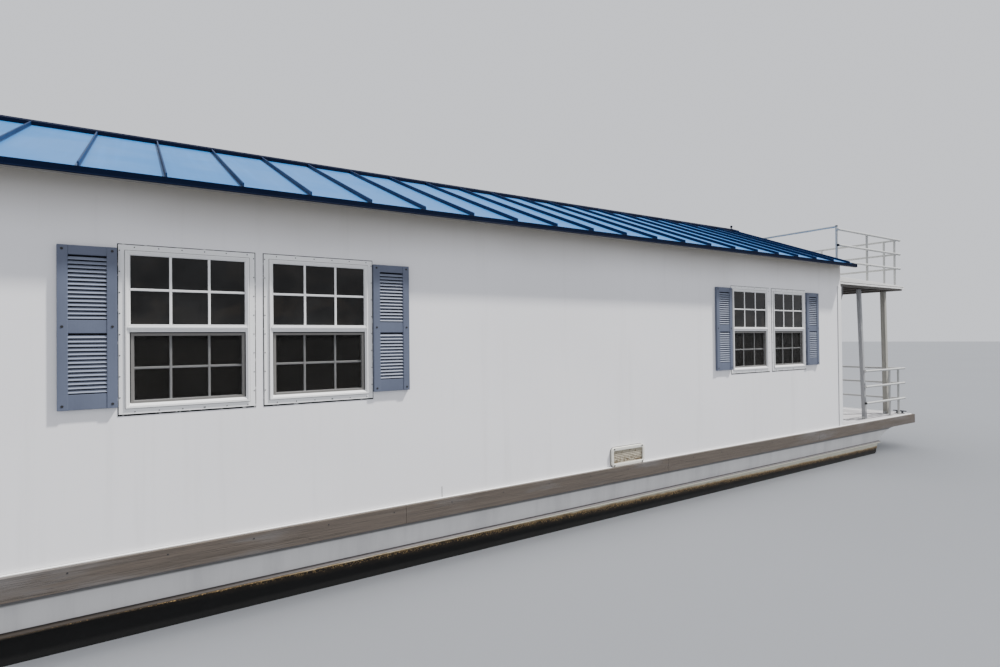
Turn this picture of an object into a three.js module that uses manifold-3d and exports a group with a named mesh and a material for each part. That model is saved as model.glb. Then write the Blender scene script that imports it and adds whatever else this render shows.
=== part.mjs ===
// Houseboat: a flat-bottomed barge hull with a gable-roofed house, a fore deck under an
// upper deck, an aft deck and one outboard motor.
// Millimetres. +X is towards the bow, +Y to port, +Z up. The origin is in the middle of
// the hull's flat bottom.
import * as THREE from "three";
import { mergeVertices } from "three/addons/utils/BufferGeometryUtils.js";
import Module from "manifold-3d";

const wasm = await Module();
wasm.setup();

// Levels above the flat bottom
const WATERLINE = 400;
const CHINE_Z = WATERLINE + 210;
const RUB_BOTTOM = WATERLINE + 460;
const DECK_TOP = WATERLINE + 630;
const DECK_THICK = 30;

// Hull
const HULL_HALF_LENGTH = 8010;
const HULL_HALF_BEAM = 2180;
const FLANGE = 30;
const RUB_THICK = 50;
const PLANK_LENGTH = 3658;
const PLANK_JOINT_X = 850;
const JOINT_GAP = 6;
const JOINT_DEPTH = 8;

// House
const HOUSE_AFT = -6840;
const HOUSE_FRONT = 5370;
const HOUSE_HALF = 2170;
const WALL_THICK = 90;
const SEAT_GAP = 0.4;

// Roof: metal on deck boards, from the ridge down to the eaves
const RIDGE_Z = WATERLINE + 4400;
const EAVE_Z = WATERLINE + 3430;
const EAVE_HALF = 2375;
const ROOF_THICK = 45;
const ROOF_FRONT = 5480;
const ROOF_AFT = -7000;
const SEAM_PITCH = 529;
const SEAM_FIRST_X = -5293 - 3 * SEAM_PITCH;
const SEAM_COUNT = 24;
const SEAM_HIGH = 38;
const SEAM_WIDE = 24;
const CAP_HALF = 150;
const TRIM_THICK = 20;
const TRIM_HIGH = 58;
const SLOPE = (RIDGE_Z - EAVE_Z) / EAVE_HALF;

// Windows and shutters, the same on both sides
const WINDOW_WIDE = 944;
const WINDOW_HIGH = 1270;
const WINDOW_BOTTOM = WATERLINE + 1670;
const WINDOW_LEFTS = [-5069, -4054, 2279, 3294];
const FIN_WIDE = 42;
const FIN_PROUD = 6;
const SHUTTER_WIDE = 356;
const SHUTTER_HIGH = 1184;
const SHUTTER_THICK = 34;
const SHUTTER_BOTTOM = WATERLINE + 1726;
const SHUTTER_GAP = 5;
const SHUTTER_LEFTS = WINDOW_LEFTS.map((left, index) =>
  index % 2 === 0 ? left - SHUTTER_GAP - SHUTTER_WIDE : left + WINDOW_WIDE + SHUTTER_GAP,
);

// Doors
const DOOR_OPENING = { half: 900, bottom: DECK_TOP + 60, top: DECK_TOP + 2120 };
const AFT_DOOR = { wide: 780, bottom: DECK_TOP + 60, top: DECK_TOP + 2060, thick: 44 };
const DOOR_CLEAR = 6;

// Upper deck: its top falls towards the bow, over a level band, plate and beams
const UPPER_DECK = {
  front: 7810,
  aftTop: WATERLINE + 3234,
  frontTop: WATERLINE + 3161,
  plateBottom: WATERLINE + 3135,
  bandBottom: WATERLINE + 3107,
  beamBottom: WATERLINE + 3075,
};
const UPPER_FALL = (UPPER_DECK.aftTop - UPPER_DECK.frontTop) / (UPPER_DECK.front - HOUSE_FRONT);

// Its posts lean inboard from foot to head; y is measured from the middle of the boat
const POSTS = [
  { name: "aft", x: 6560, footY: 1985, headY: 1915, wide: 66 },
  { name: "fore", x: 7700, footY: 1868, headY: 1844, wide: 84 },
];

// Tube rails: the runs are fixed to the outboard faces of their uprights
const TUBE = 40;
const RUN_OFFSET = 36;
const UPPER_RAIL = { y: 2040, aft: 5530, front: 7745, end: 7875, crossZ: WATERLINE + 4145 };
const UPPER_RAIL_ZS = [WATERLINE + 3522, WATERLINE + 3810, WATERLINE + 4088];
const LOWER_RAIL = { y: 2050, aft: 6400, front: 7800, end: 7970 };
const LOWER_RAIL_HEIGHTS = [310, 615, 905];
const STERN_RAIL = { x: -7920, y: 2070, gap: 560 };
const LADDER = { x: 5950, half: 205, y: 2192, across: 32, gate: 6300 };

// Outboard motor
const TILT_X = -HULL_HALF_LENGTH - 480;
const TILT_Z = DECK_TOP - 50;
const STEER_X = TILT_X - 70;
const PIN = 24;
const PAN_LIFT = 110;
const PROP_Z = 215;
const PROP_X = TILT_X - 370;

function material(color, roughness, metalness) {
  return new THREE.MeshStandardMaterial({ color, roughness, metalness, flatShading: true });
}

const FINISH = {
  hull: material(0xb9bec4, 0.45, 0.0),
  deck: material(0xc9c9c6, 0.8, 0.0),
  timber: material(0x6a615b, 0.9, 0.0),
  gelcoat: material(0xd6d6d6, 0.4, 0.0),
  roofing: material(0x4d86b8, 0.4, 0.3),
  navy: material(0x14233c, 0.45, 0.2),
  vinyl: material(0xe8e8e8, 0.45, 0.0),
  glass: material(0x2b3034, 0.08, 0.1),
  shutter: material(0x646e87, 0.55, 0.0),
  post: material(0xa09b94, 0.7, 0.0),
  rail: material(0x9aa0a2, 0.4, 0.7),
  black: material(0x22262b, 0.5, 0.1),
  metal: material(0x8d9196, 0.4, 0.8),
};

// Geometry helpers: each gives a closed solid

function solid(geometry) {
  geometry.deleteAttribute("normal");
  geometry.deleteAttribute("uv");
  const merged = mergeVertices(geometry, 1e-3);
  return new wasm.Manifold(
    new wasm.Mesh({
      numProp: 3,
      vertProperties: new Float32Array(merged.attributes.position.array),
      triVerts: new Uint32Array(merged.index.array),
    }),
  );
}

function box([x0, x1], [y0, y1], [z0, z1]) {
  const geometry = new THREE.BoxGeometry(Math.abs(x1 - x0), Math.abs(y1 - y0), Math.abs(z1 - z0));
  return solid(geometry.translate((x0 + x1) / 2, (y0 + y1) / 2, (z0 + z1) / 2));
}

function outlineOf(points) {
  return new THREE.Shape(points.map(([u, v]) => new THREE.Vector2(u, v)));
}

function extrude(points, length) {
  return new THREE.ExtrudeGeometry(outlineOf(points), { depth: length, bevelEnabled: false });
}

// An outline of (y, z) points, swept from x0 to x1
function alongX(points, x0, x1) {
  const turn = new THREE.Matrix4().makeBasis(
    new THREE.Vector3(0, 1, 0),
    new THREE.Vector3(0, 0, 1),
    new THREE.Vector3(1, 0, 0),
  );
  return solid(extrude(points, x1 - x0).applyMatrix4(turn).translate(x0, 0, 0));
}

// An outline of (x, z) points, swept from y0 to y1
function alongY(points, y0, y1) {
  const turn = new THREE.Matrix4().makeBasis(
    new THREE.Vector3(1, 0, 0),
    new THREE.Vector3(0, 0, 1),
    new THREE.Vector3(0, -1, 0),
  );
  return solid(extrude(points, y1 - y0).applyMatrix4(turn).translate(0, y1, 0));
}

// An outline of (x, y) points, swept from z0 to z1
function alongZ(points, z0, z1) {
  return solid(extrude(points, z1 - z0).translate(0, 0, z0));
}

function tube(from, to, diameter, sides = 8) {
  const a = new THREE.Vector3(...from);
  const b = new THREE.Vector3(...to);
  const geometry = new THREE.CylinderGeometry(diameter / 2, diameter / 2, a.distanceTo(b), sides);
  const along = b.clone().sub(a).normalize();
  const turn = new THREE.Quaternion().setFromUnitVectors(new THREE.Vector3(0, 1, 0), along);
  geometry.applyQuaternion(turn);
  const middle = a.add(b).multiplyScalar(0.5);
  return solid(geometry.translate(middle.x, middle.y, middle.z));
}

function join(solids) {
  return solids.reduce((whole, next) => whole.add(next));
}

function mirrored(solids, side) {
  return side < 0 ? solids : solids.scale([1, -1, 1]);
}

function part(name, whole, finish, place = [0, 0, 0]) {
  const mesh = whole.getMesh();
  const geometry = new THREE.BufferGeometry();
  geometry.setAttribute("position", new THREE.BufferAttribute(new Float32Array(mesh.vertProperties), 3));
  geometry.setIndex(new THREE.BufferAttribute(new Uint32Array(mesh.triVerts), 1));
  geometry.computeVertexNormals();
  const result = new THREE.Mesh(geometry, finish);
  result.name = name;
  result.position.set(...place);
  return result;
}

const SIDES = [
  { name: "starboard", sign: -1 },
  { name: "port", sign: 1 },
];

// A span of heights that reaches past the whole boat, for cutting right through
const ALL_HEIGHTS = [-100, 6000];

function roofTopAt(y) {
  return RIDGE_Z - SLOPE * Math.abs(y);
}

// Hull and deck

const BOW = { bottomX: 5700, kneeX: 6560, chineX: 6720, flareX: 6900, topX: 7300 };

function bowArc(from, towards, to, steps) {
  const ends = [from, towards, to].map(([x, z]) => new THREE.Vector2(x, z));
  return new THREE.QuadraticBezierCurve(...ends).getPoints(steps).map((p) => [p.x, p.y]);
}

function hull() {
  // Half section from the middle of the bottom up to the sheer: half breadth, height
  const half = [
    [1900, 0],
    [2040, 70],
    [2110, 210],
    [2135, 420],
    [HULL_HALF_BEAM - 40, CHINE_Z - 12],
    [HULL_HALF_BEAM + FLANGE - 30, CHINE_Z - 12],
    [HULL_HALF_BEAM + FLANGE - 30, CHINE_Z + 10],
    [HULL_HALF_BEAM - 36, CHINE_Z + 20],
    [HULL_HALF_BEAM - 20, RUB_BOTTOM - 40],
    [HULL_HALF_BEAM, RUB_BOTTOM],
    [HULL_HALF_BEAM, DECK_TOP - DECK_THICK],
  ];
  const other = half.map(([y, z]) => [-y, z]).reverse();
  const section = alongX([...half, ...other], -HULL_HALF_LENGTH, HULL_HALF_LENGTH);
  // Side profile: flat bottom, raked run aft, concave flare under the fore deck
  const chine = [BOW.chineX, CHINE_Z];
  const forefoot = bowArc([BOW.bottomX, 0], [BOW.kneeX, 20], chine, 6);
  const flare = bowArc(chine, [BOW.flareX, CHINE_Z + 190], [BOW.topX, RUB_BOTTOM - 15], 5);
  const profile = alongY(
    [
      [-HULL_HALF_LENGTH, DECK_TOP - DECK_THICK],
      [-HULL_HALF_LENGTH, 200],
      [-7500, 0],
      ...forefoot,
      ...flare.slice(1),
      [HULL_HALF_LENGTH, RUB_BOTTOM],
      [HULL_HALF_LENGTH, DECK_TOP - DECK_THICK],
    ],
    -HULL_HALF_BEAM - 100,
    HULL_HALF_BEAM + 100,
  );
  return part("hull", section.intersect(profile), FINISH.hull);
}

function mainDeck() {
  const plate = box(
    [-HULL_HALF_LENGTH, HULL_HALF_LENGTH],
    [-HULL_HALF_BEAM, HULL_HALF_BEAM],
    [DECK_TOP - DECK_THICK, DECK_TOP],
  );
  return part("main_deck", plate, FINISH.deck);
}

function rubRail() {
  const outX = HULL_HALF_LENGTH + RUB_THICK;
  const outY = HULL_HALF_BEAM + RUB_THICK;
  const levels = [RUB_BOTTOM, DECK_TOP];
  const outer = box([-outX, outX], [-outY, outY], levels);
  const inner = box([-HULL_HALF_LENGTH, HULL_HALF_LENGTH], [-HULL_HALF_BEAM, HULL_HALF_BEAM], ALL_HEIGHTS);
  let ring = outer.subtract(inner);
  for (let step = -2; step <= 1; step += 1) {
    const x = PLANK_JOINT_X + step * PLANK_LENGTH;
    for (const { sign } of SIDES) {
      const cut = [sign * (outY - JOINT_DEPTH), sign * (outY + 1)];
      ring = ring.subtract(box([x - JOINT_GAP / 2, x + JOINT_GAP / 2], cut, ALL_HEIGHTS));
    }
  }
  return part("rub_rail", ring, FINISH.timber);
}

// A cleat's horns lie across the boat
function cleat(name, x, y) {
  const feet = [-45, 45].map((dy) => box([-20, 20], [dy - 18, dy + 18], [0, 45]));
  const horn = tube([0, -125, 52], [0, 125, 52], 26);
  return part(name, join([...feet, horn]), FINISH.metal, [x, y, DECK_TOP]);
}

// House

function windowHole(left) {
  return box(
    [left + FIN_WIDE, left + WINDOW_WIDE - FIN_WIDE],
    [-HOUSE_HALF - 10, -HOUSE_HALF + WALL_THICK + 10],
    [WINDOW_BOTTOM + FIN_WIDE, WINDOW_BOTTOM + WINDOW_HIGH - FIN_WIDE],
  );
}

function wallTopAt(y) {
  return roofTopAt(y) - ROOF_THICK - SEAT_GAP;
}

function sideWall({ name, sign }) {
  const inner = HOUSE_HALF - WALL_THICK;
  const outline = [
    [-HOUSE_HALF, DECK_TOP],
    [-inner, DECK_TOP],
    [-inner, wallTopAt(inner)],
    [-HOUSE_HALF, wallTopAt(HOUSE_HALF)],
  ];
  let wall = alongX(outline, HOUSE_AFT, HOUSE_FRONT);
  for (const left of WINDOW_LEFTS) {
    wall = wall.subtract(windowHole(left));
  }
  return part(`wall_${name}`, mirrored(wall, sign), FINISH.gelcoat);
}

function gableOutline() {
  const inner = HOUSE_HALF - WALL_THICK;
  return [
    [-inner, DECK_TOP],
    [inner, DECK_TOP],
    [inner, wallTopAt(inner)],
    [0, wallTopAt(0)],
    [-inner, wallTopAt(inner)],
  ];
}

function frontWall() {
  const wall = alongX(gableOutline(), HOUSE_FRONT - WALL_THICK, HOUSE_FRONT);
  const { half, bottom, top } = DOOR_OPENING;
  const opening = box([HOUSE_FRONT - 200, HOUSE_FRONT + 100], [-half, half], [bottom, top]);
  return part("wall_front", wall.subtract(opening), FINISH.gelcoat);
}

const HINGE = {
  x: HOUSE_AFT - 10,
  y: AFT_DOOR.wide / 2 + 3,
  across: 16,
  heights: [300, 1000, 1700],
  half: 30,
};

function hingeKnuckle(z, length, plateEnd) {
  const barrel = tube([HINGE.x, HINGE.y, z], [HINGE.x, HINGE.y, z + length], HINGE.across, 10);
  const plate = box([HINGE.x, HOUSE_AFT + 2], [HINGE.y, plateEnd], [z, z + length]);
  return barrel.add(plate);
}

function aftWall() {
  const wall = alongX(gableOutline(), HOUSE_AFT, HOUSE_AFT + WALL_THICK);
  const half = AFT_DOOR.wide / 2 + DOOR_CLEAR;
  const opening = box([HOUSE_AFT - 100, HOUSE_AFT + 200], [-half, half], [AFT_DOOR.bottom, AFT_DOOR.top]);
  const knuckles = HINGE.heights.map((height) =>
    hingeKnuckle(AFT_DOOR.bottom + height - HINGE.half, HINGE.half - 0.3, HINGE.y + 34),
  );
  return part("wall_aft", join([wall.subtract(opening), ...knuckles]), FINISH.gelcoat);
}

function aftDoor() {
  const half = AFT_DOOR.wide / 2;
  const back = HOUSE_AFT + AFT_DOOR.thick;
  let leaf = box([HOUSE_AFT, back], [-half, half], [AFT_DOOR.bottom + 8, AFT_DOOR.top - 6]);
  const pane = { half: 230, bottom: AFT_DOOR.bottom + 1000, top: AFT_DOOR.top - 160 };
  for (const [x0, x1] of [[HOUSE_AFT - 5, HOUSE_AFT + 16], [back - 16, back + 5]]) {
    leaf = leaf.subtract(box([x0, x1], [-pane.half, pane.half], [pane.bottom, pane.top]));
  }
  const knuckles = HINGE.heights.map((height) =>
    hingeKnuckle(AFT_DOOR.bottom + height + 0.3, HINGE.half - 0.3, HINGE.y - 34),
  );
  const handleZ = AFT_DOOR.bottom + 950;
  const handleY = -half + 60;
  const stem = tube([HOUSE_AFT - 50, handleY, handleZ], [HOUSE_AFT + 5, handleY, handleZ], 20);
  const leverX = HOUSE_AFT - 45;
  const lever = tube([leverX, handleY - 12, handleZ], [leverX, handleY + 115, handleZ], 18);
  return part("aft_door", join([leaf, ...knuckles, stem, lever]), FINISH.gelcoat);
}

// Front doors: an outer frame with a fixed pane to port and a slider to starboard

const SLIDER = { x: HOUSE_FRONT - 32, thick: 30, overlap: 40 };

function glazedPanel([x0, x1], [y0, y1], [z0, z1]) {
  const rim = 62;
  const recess = (x1 - x0 - 10) / 2;
  const slab = box([x0, x1], [y0, y1], [z0, z1]);
  const front = box([x1 - recess, x1 + 5], [y0 + rim, y1 - rim], [z0 + rim, z1 - rim]);
  const back = box([x0 - 5, x0 + recess], [y0 + rim, y1 - rim], [z0 + rim, z1 - rim]);
  return slab.subtract(front).subtract(back);
}

function frontDoorFixed() {
  const { half, bottom, top } = DOOR_OPENING;
  const depth = [HOUSE_FRONT - WALL_THICK, HOUSE_FRONT + 10];
  const rim = 40;
  const frame = box(depth, [-half, half], [bottom, top])
    .subtract(box([depth[0] - 5, depth[1] + 5], [-half + rim, half - rim], [bottom + rim, top - rim]));
  const pane = glazedPanel(
    [HOUSE_FRONT - 80, HOUSE_FRONT - 48],
    [0, half - rim + 5],
    [bottom + rim - 5, top - rim + 5],
  );
  return part("front_door_fixed", frame.add(pane), FINISH.vinyl);
}

function frontDoorSlider() {
  const { half, bottom, top } = DOOR_OPENING;
  const leaf = glazedPanel(
    [SLIDER.x - 10, SLIDER.x - 10 + SLIDER.thick],
    [-half + 46, SLIDER.overlap],
    [bottom + 40.5, top - 46],
  );
  const gripY = -half + 76;
  const gripHeights = [bottom + 850, bottom + 1100];
  const grip = box([SLIDER.x + 15, SLIDER.x + 38], [gripY - 12, gripY + 12], gripHeights);
  return part("front_door_slider", leaf.add(grip), FINISH.vinyl);
}

function ventLouvre() {
  const wide = 565;
  const high = 235;
  const rim = 40;
  const proud = 30;
  const mouth = box([rim, wide - rim], [-proud - 10, -10], [rim, high - rim]);
  const frame = box([0, wide], [-proud, 0], [0, high]).subtract(mouth);
  const blades = [62, 94, 126, 158].map((z) =>
    alongX([[-24, z], [-9, z + 14], [-9, z + 24], [-24, z + 6]], rim - 1, wide - rim + 1),
  );
  return part("hull_vent", join([frame, ...blades]), FINISH.vinyl, [-120, -HOUSE_HALF, DECK_TOP]);
}

// Windows. Local frame: X along the wall from the fin's left edge, Y 0 on the wall's outer
// face with the outside at -Y, Z up from the fin's lower edge.
const FRAME = { deep: 78, rim: 28, glassY: 34, glassThick: 6, meetingLow: 615, meetingHigh: 673 };

function windowFrame() {
  const fin = box([0, WINDOW_WIDE], [-FIN_PROUD, 0], [0, WINDOW_HIGH]);
  const core = box(
    [FIN_WIDE + 1, WINDOW_WIDE - FIN_WIDE - 1],
    [-16, FRAME.deep],
    [FIN_WIDE + 1, WINDOW_HIGH - FIN_WIDE - 1],
  );
  const lite = FIN_WIDE + FRAME.rim;
  const hole = box([lite, WINDOW_WIDE - lite], [-30, FRAME.deep + 10], [lite, WINDOW_HIGH - lite]);
  const sashBack = FRAME.glassY - 0.3;
  const clear = { x0: lite, x1: WINDOW_WIDE - lite };
  const across = [clear.x0 - 2, clear.x1 + 2];
  const bars = [box(across, [-14, sashBack], [FRAME.meetingLow, FRAME.meetingHigh])];
  const halves = [
    { low: lite, high: FRAME.meetingLow, front: 18 },
    { low: FRAME.meetingHigh, high: WINDOW_HIGH - lite, front: 2 },
  ];
  for (const { low, high, front } of halves) {
    for (const share of [1 / 3, 2 / 3]) {
      const x = clear.x0 + share * (clear.x1 - clear.x0);
      bars.push(box([x - 9, x + 9], [front, sashBack], [low - 2, high + 2]));
    }
    const z = (low + high) / 2;
    bars.push(box(across, [front, sashBack], [z - 9, z + 9]));
  }
  return join([fin.add(core).subtract(hole), ...bars]);
}

function windowGlass() {
  const lite = FIN_WIDE + FRAME.rim + 0.3;
  return box(
    [lite, WINDOW_WIDE - lite],
    [FRAME.glassY, FRAME.glassY + FRAME.glassThick],
    [lite, WINDOW_HIGH - lite],
  );
}

// Louvred shutter. Local frame as for a window.
const SHUTTER = { stile: 64, top: 68, middle: 97, pitch: 30.35, slot: 12, upper: 15, lower: 14 };

function louvreField(top, count) {
  const points = [];
  for (let slat = 0; slat < count; slat += 1) {
    const z = top - SHUTTER.slot - slat * SHUTTER.pitch;
    points.push([-SHUTTER_THICK + 18, z], [-SHUTTER_THICK + 3, z - SHUTTER.pitch + 4]);
  }
  const low = top - count * SHUTTER.pitch - SHUTTER.slot;
  const slotY = -SHUTTER_THICK + 18;
  const backY = -6;
  const outline = [...points, [slotY, low - 0.5], [backY, low - 0.5], [backY, top], [slotY, top]];
  return alongX(outline, SHUTTER.stile - 2, SHUTTER_WIDE - SHUTTER.stile + 2);
}

function shutter() {
  const board = [-SHUTTER_THICK, 0];
  const fieldTop = SHUTTER_HIGH - SHUTTER.top;
  const middleTop = fieldTop - SHUTTER.upper * SHUTTER.pitch - SHUTTER.slot;
  const lowerTop = middleTop - SHUTTER.middle;
  const lowerEnd = lowerTop - SHUTTER.lower * SHUTTER.pitch - SHUTTER.slot;
  const stiles = [0, SHUTTER_WIDE - SHUTTER.stile].map((x) =>
    box([x, x + SHUTTER.stile], board, [0, SHUTTER_HIGH]),
  );
  const across = [0, SHUTTER_WIDE];
  const rails = [
    box(across, board, [0, lowerEnd]),
    box(across, board, [lowerTop, middleTop]),
    box(across, board, [fieldTop, SHUTTER_HIGH]),
  ];
  const fields = [louvreField(fieldTop, SHUTTER.upper), louvreField(lowerTop, SHUTTER.lower)];
  return join([...stiles, ...rails, ...fields]);
}

function openings(side) {
  const frame = mirrored(windowFrame(), side.sign);
  const glass = mirrored(windowGlass(), side.sign);
  const blind = mirrored(shutter(), side.sign);
  const group = new THREE.Group();
  group.position.set(0, side.sign * HOUSE_HALF, 0);
  WINDOW_LEFTS.forEach((left, index) => {
    const place = [left, 0, WINDOW_BOTTOM];
    group.add(part(`window_frame_${side.name}_${index + 1}`, frame, FINISH.vinyl, place));
    group.add(part(`window_glass_${side.name}_${index + 1}`, glass, FINISH.glass, place));
  });
  SHUTTER_LEFTS.forEach((left, index) => {
    const place = [left, 0, SHUTTER_BOTTOM];
    group.add(part(`shutter_${side.name}_${index + 1}`, blind, FINISH.shutter, place));
  });
  return group;
}

// Roof

function roofHalf({ name, sign }) {
  const outline = [
    [-EAVE_HALF, EAVE_Z],
    [-EAVE_HALF, EAVE_Z - ROOF_THICK],
    [0, RIDGE_Z - ROOF_THICK],
    [0, RIDGE_Z],
  ];
  const panel = alongX(outline, ROOF_AFT, ROOF_FRONT);
  const seams = [];
  const seamEnd = CAP_HALF + 1;
  for (let index = 0; index < SEAM_COUNT; index += 1) {
    const x = SEAM_FIRST_X + index * SEAM_PITCH;
    const rib = [
      [-EAVE_HALF, EAVE_Z - 5],
      [-EAVE_HALF + 20, EAVE_Z - 5],
      [-seamEnd, roofTopAt(seamEnd) - 10],
      [-seamEnd, roofTopAt(seamEnd) + SEAM_HIGH],
      [-EAVE_HALF, EAVE_Z + SEAM_HIGH],
    ];
    seams.push(alongX(rib, x - SEAM_WIDE / 2, x + SEAM_WIDE / 2));
  }
  return part(`roof_${name}`, mirrored(join([panel, ...seams]), sign), FINISH.roofing);
}

function eaveTrim({ name, sign }) {
  const low = EAVE_Z - ROOF_THICK - 5;
  const outY = EAVE_HALF + TRIM_THICK;
  const fascia = box([ROOF_AFT, ROOF_FRONT], [-outY, -EAVE_HALF], [low, low + TRIM_HIGH]);
  const drop = 8;
  const rise = TRIM_HIGH - 4;
  const rake = [
    [-outY, roofTopAt(outY) + drop],
    [-outY, low],
    [-EAVE_HALF, low],
    [0, RIDGE_Z - rise],
    [0, RIDGE_Z + drop],
  ];
  const rakes = [
    alongX(rake, ROOF_FRONT, ROOF_FRONT + TRIM_THICK),
    alongX(rake, ROOF_AFT - TRIM_THICK, ROOF_AFT),
  ];
  return part(`eave_trim_${name}`, mirrored(join([fascia, ...rakes]), sign), FINISH.navy);
}

function ridgeCap() {
  const half = CAP_HALF;
  const lift = SEAM_HIGH + 4;
  const cap = alongX(
    [
      [-half, roofTopAt(half) + SEAT_GAP],
      [0, RIDGE_Z + SEAT_GAP],
      [half, roofTopAt(half) + SEAT_GAP],
      [half, roofTopAt(half) + lift],
      [0, RIDGE_Z + lift],
      [-half, roofTopAt(half) + lift],
    ],
    ROOF_AFT,
    ROOF_FRONT,
  );
  const finialX = ROOF_FRONT - 50;
  const stem = tube([finialX, 0, RIDGE_Z + lift - 8], [finialX, 0, RIDGE_Z + lift + 30], 20);
  const ball = solid(new THREE.SphereGeometry(26, 10, 6).translate(finialX, 0, RIDGE_Z + lift + 42));
  return part("ridge_cap", join([cap, stem, ball]), FINISH.navy);
}

// Upper deck, posts, rails and ladder

function upperDeckTopAt(x) {
  return UPPER_DECK.aftTop - UPPER_FALL * (x - HOUSE_FRONT);
}

// All that lies below the upper deck's top face, raised by a gap; it trims what stands there
function belowUpperDeck(gap) {
  const reach = 200;
  const [from, to] = [HOUSE_FRONT - reach, UPPER_DECK.front + reach];
  return alongY(
    [
      [from, 0],
      [to, 0],
      [to, upperDeckTopAt(to) + gap],
      [from, upperDeckTopAt(from) + gap],
    ],
    -HOUSE_HALF - reach,
    HOUSE_HALF + reach,
  );
}

// A flat ring under the upper deck, in from its edges, with the given width
function deckRing(inset, wide, [z0, z1]) {
  const fore = UPPER_DECK.front - inset;
  const half = HOUSE_HALF - inset;
  const inner = box([HOUSE_FRONT + wide, fore - wide], [wide - half, half - wide], [z0 - 10, z1 + 10]);
  return box([HOUSE_FRONT, fore], [-half, half], [z0, z1]).subtract(inner);
}

function upperDeck() {
  const { front, frontTop, aftTop, plateBottom, bandBottom, beamBottom } = UPPER_DECK;
  const plate = alongY(
    [
      [HOUSE_FRONT, plateBottom],
      [front, plateBottom],
      [front, frontTop],
      [HOUSE_FRONT, aftTop],
    ],
    -HOUSE_HALF,
    HOUSE_HALF,
  );
  const into = plateBottom + 4;
  const beamHalf = 46;
  const beamXs = [HOUSE_FRONT + beamHalf, 5990, POSTS[0].x, 7130, POSTS[1].x];
  const beams = beamXs.map((x) =>
    box([x - beamHalf, x + beamHalf], [-HOUSE_HALF + 30, HOUSE_HALF - 30], [beamBottom, into]),
  );
  return part(
    "upper_deck",
    join([plate, deckRing(0, 110, [bandBottom, into]), deckRing(24, 60, [beamBottom, into]), ...beams]),
    FINISH.gelcoat,
  );
}

// How far in from its foot a post's middle lies at a height above the main deck
function postY({ footY, headY }, height) {
  return footY + ((headY - footY) * height) / (UPPER_DECK.beamBottom - DECK_TOP);
}

function post(row, side) {
  const high = UPPER_DECK.beamBottom - DECK_TOP;
  const lean = (side.sign * (row.headY - row.footY)) / high;
  const shaft = new THREE.BoxGeometry(row.wide, row.wide, high).translate(0, 0, high / 2);
  shaft.applyMatrix4(new THREE.Matrix4().makeShear(0, 0, 0, 0, 0, lean));
  const place = [row.x, side.sign * row.footY, DECK_TOP];
  return part(`post_${row.name}_${side.name}`, solid(shaft), FINISH.post, place);
}

// A rail: upright tubes at plan points, and runs of tube at each height through plan points
function railing({ uprights, runs, foot, heights }) {
  const top = heights[heights.length - 1];
  const pieces = uprights.map(([x, y]) => tube([x, y, foot], [x, y, top], TUBE));
  for (const z of heights) {
    for (const run of runs) {
      run.slice(1).forEach((point, index) => {
        pieces.push(tube([...run[index], z], [...point, z], TUBE));
      });
    }
  }
  return join(pieces);
}

function upperRailing(name, uprights, run, more = []) {
  const rail = railing({ uprights, runs: [run], foot: UPPER_DECK.frontTop - 40, heights: UPPER_RAIL_ZS });
  return part(name, join([rail, ...more]).subtract(belowUpperDeck(SEAT_GAP)), FINISH.rail);
}

function upperRails() {
  const { y, aft, front, end, crossZ } = UPPER_RAIL;
  const runY = y + RUN_OFFSET;
  // The after corner posts stand up to a cross rail, higher than the side rails
  const cross = [
    tube([aft, -y, UPPER_DECK.frontTop], [aft, -y, crossZ], TUBE),
    tube([aft, -y - 12, crossZ], [aft, y + 12, crossZ], TUBE),
    tube([aft, y, UPPER_DECK.frontTop], [aft, y, crossZ], TUBE),
  ];
  const foreX = front + 5;
  const foreRunX = front + TUBE + SEAT_GAP;
  const foreRunY = runY - TUBE / 2 - SEAT_GAP;
  return [
    upperRailing(
      "upper_rail_starboard",
      [[aft, -y], [6627, -y], [front, -y]],
      [[aft - 26, -runY], [end, -runY]],
      cross,
    ),
    upperRailing(
      "upper_rail_port",
      [[LADDER.gate, y], [7020, y], [front, y]],
      [[LADDER.gate - 26, runY], [end, runY]],
    ),
    upperRailing(
      "upper_rail_front",
      [[foreX, -1850], [foreX, -620], [foreX, 620], [foreX, 1850]],
      [[foreRunX, -foreRunY], [foreRunX, foreRunY]],
    ),
  ];
}

function lowerRail() {
  const { y, aft, front, end } = LOWER_RAIL;
  const runY = y + RUN_OFFSET;
  const runX = front + RUN_OFFSET;
  const uprights = [[7430, -y], [front, -y], [front, -620], [front, 620], [front, y], [7430, y]];
  const runs = [
    [[aft, -runY], [end, -runY]],
    [[runX, -runY - 14], [runX, runY + 14]],
    [[end, runY], [aft, runY]],
  ];
  const heights = LOWER_RAIL_HEIGHTS.map((height) => DECK_TOP + height);
  const [aftPost] = POSTS;
  const brackets = LOWER_RAIL_HEIGHTS.map((height) =>
    SIDES.map(({ sign }) =>
      box(
        [aftPost.x - 20, aftPost.x + 20],
        [sign * (postY(aftPost, height - 20) + aftPost.wide / 2 + SEAT_GAP), sign * runY],
        [DECK_TOP + height - 16, DECK_TOP + height + 16],
      ),
    ),
  ).flat();
  const rail = railing({ uprights, runs, foot: DECK_TOP, heights });
  return part("lower_rail", join([rail, ...brackets]), FINISH.rail);
}

function sternRail({ name, sign }) {
  const fore = HOUSE_AFT - SEAT_GAP;
  const y = sign * STERN_RAIL.y;
  const gap = sign * STERN_RAIL.gap;
  const aft = STERN_RAIL.x;
  const uprights = [[fore - 30, y], [-7400, y], [aft, y], [aft, sign * 1300], [aft, gap]];
  const runs = [[[fore, y], [aft, y], [aft, gap]]];
  const heights = LOWER_RAIL_HEIGHTS.map((height) => DECK_TOP + height);
  return part(`stern_rail_${name}`, railing({ uprights, runs, foot: DECK_TOP, heights }), FINISH.rail);
}

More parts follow.
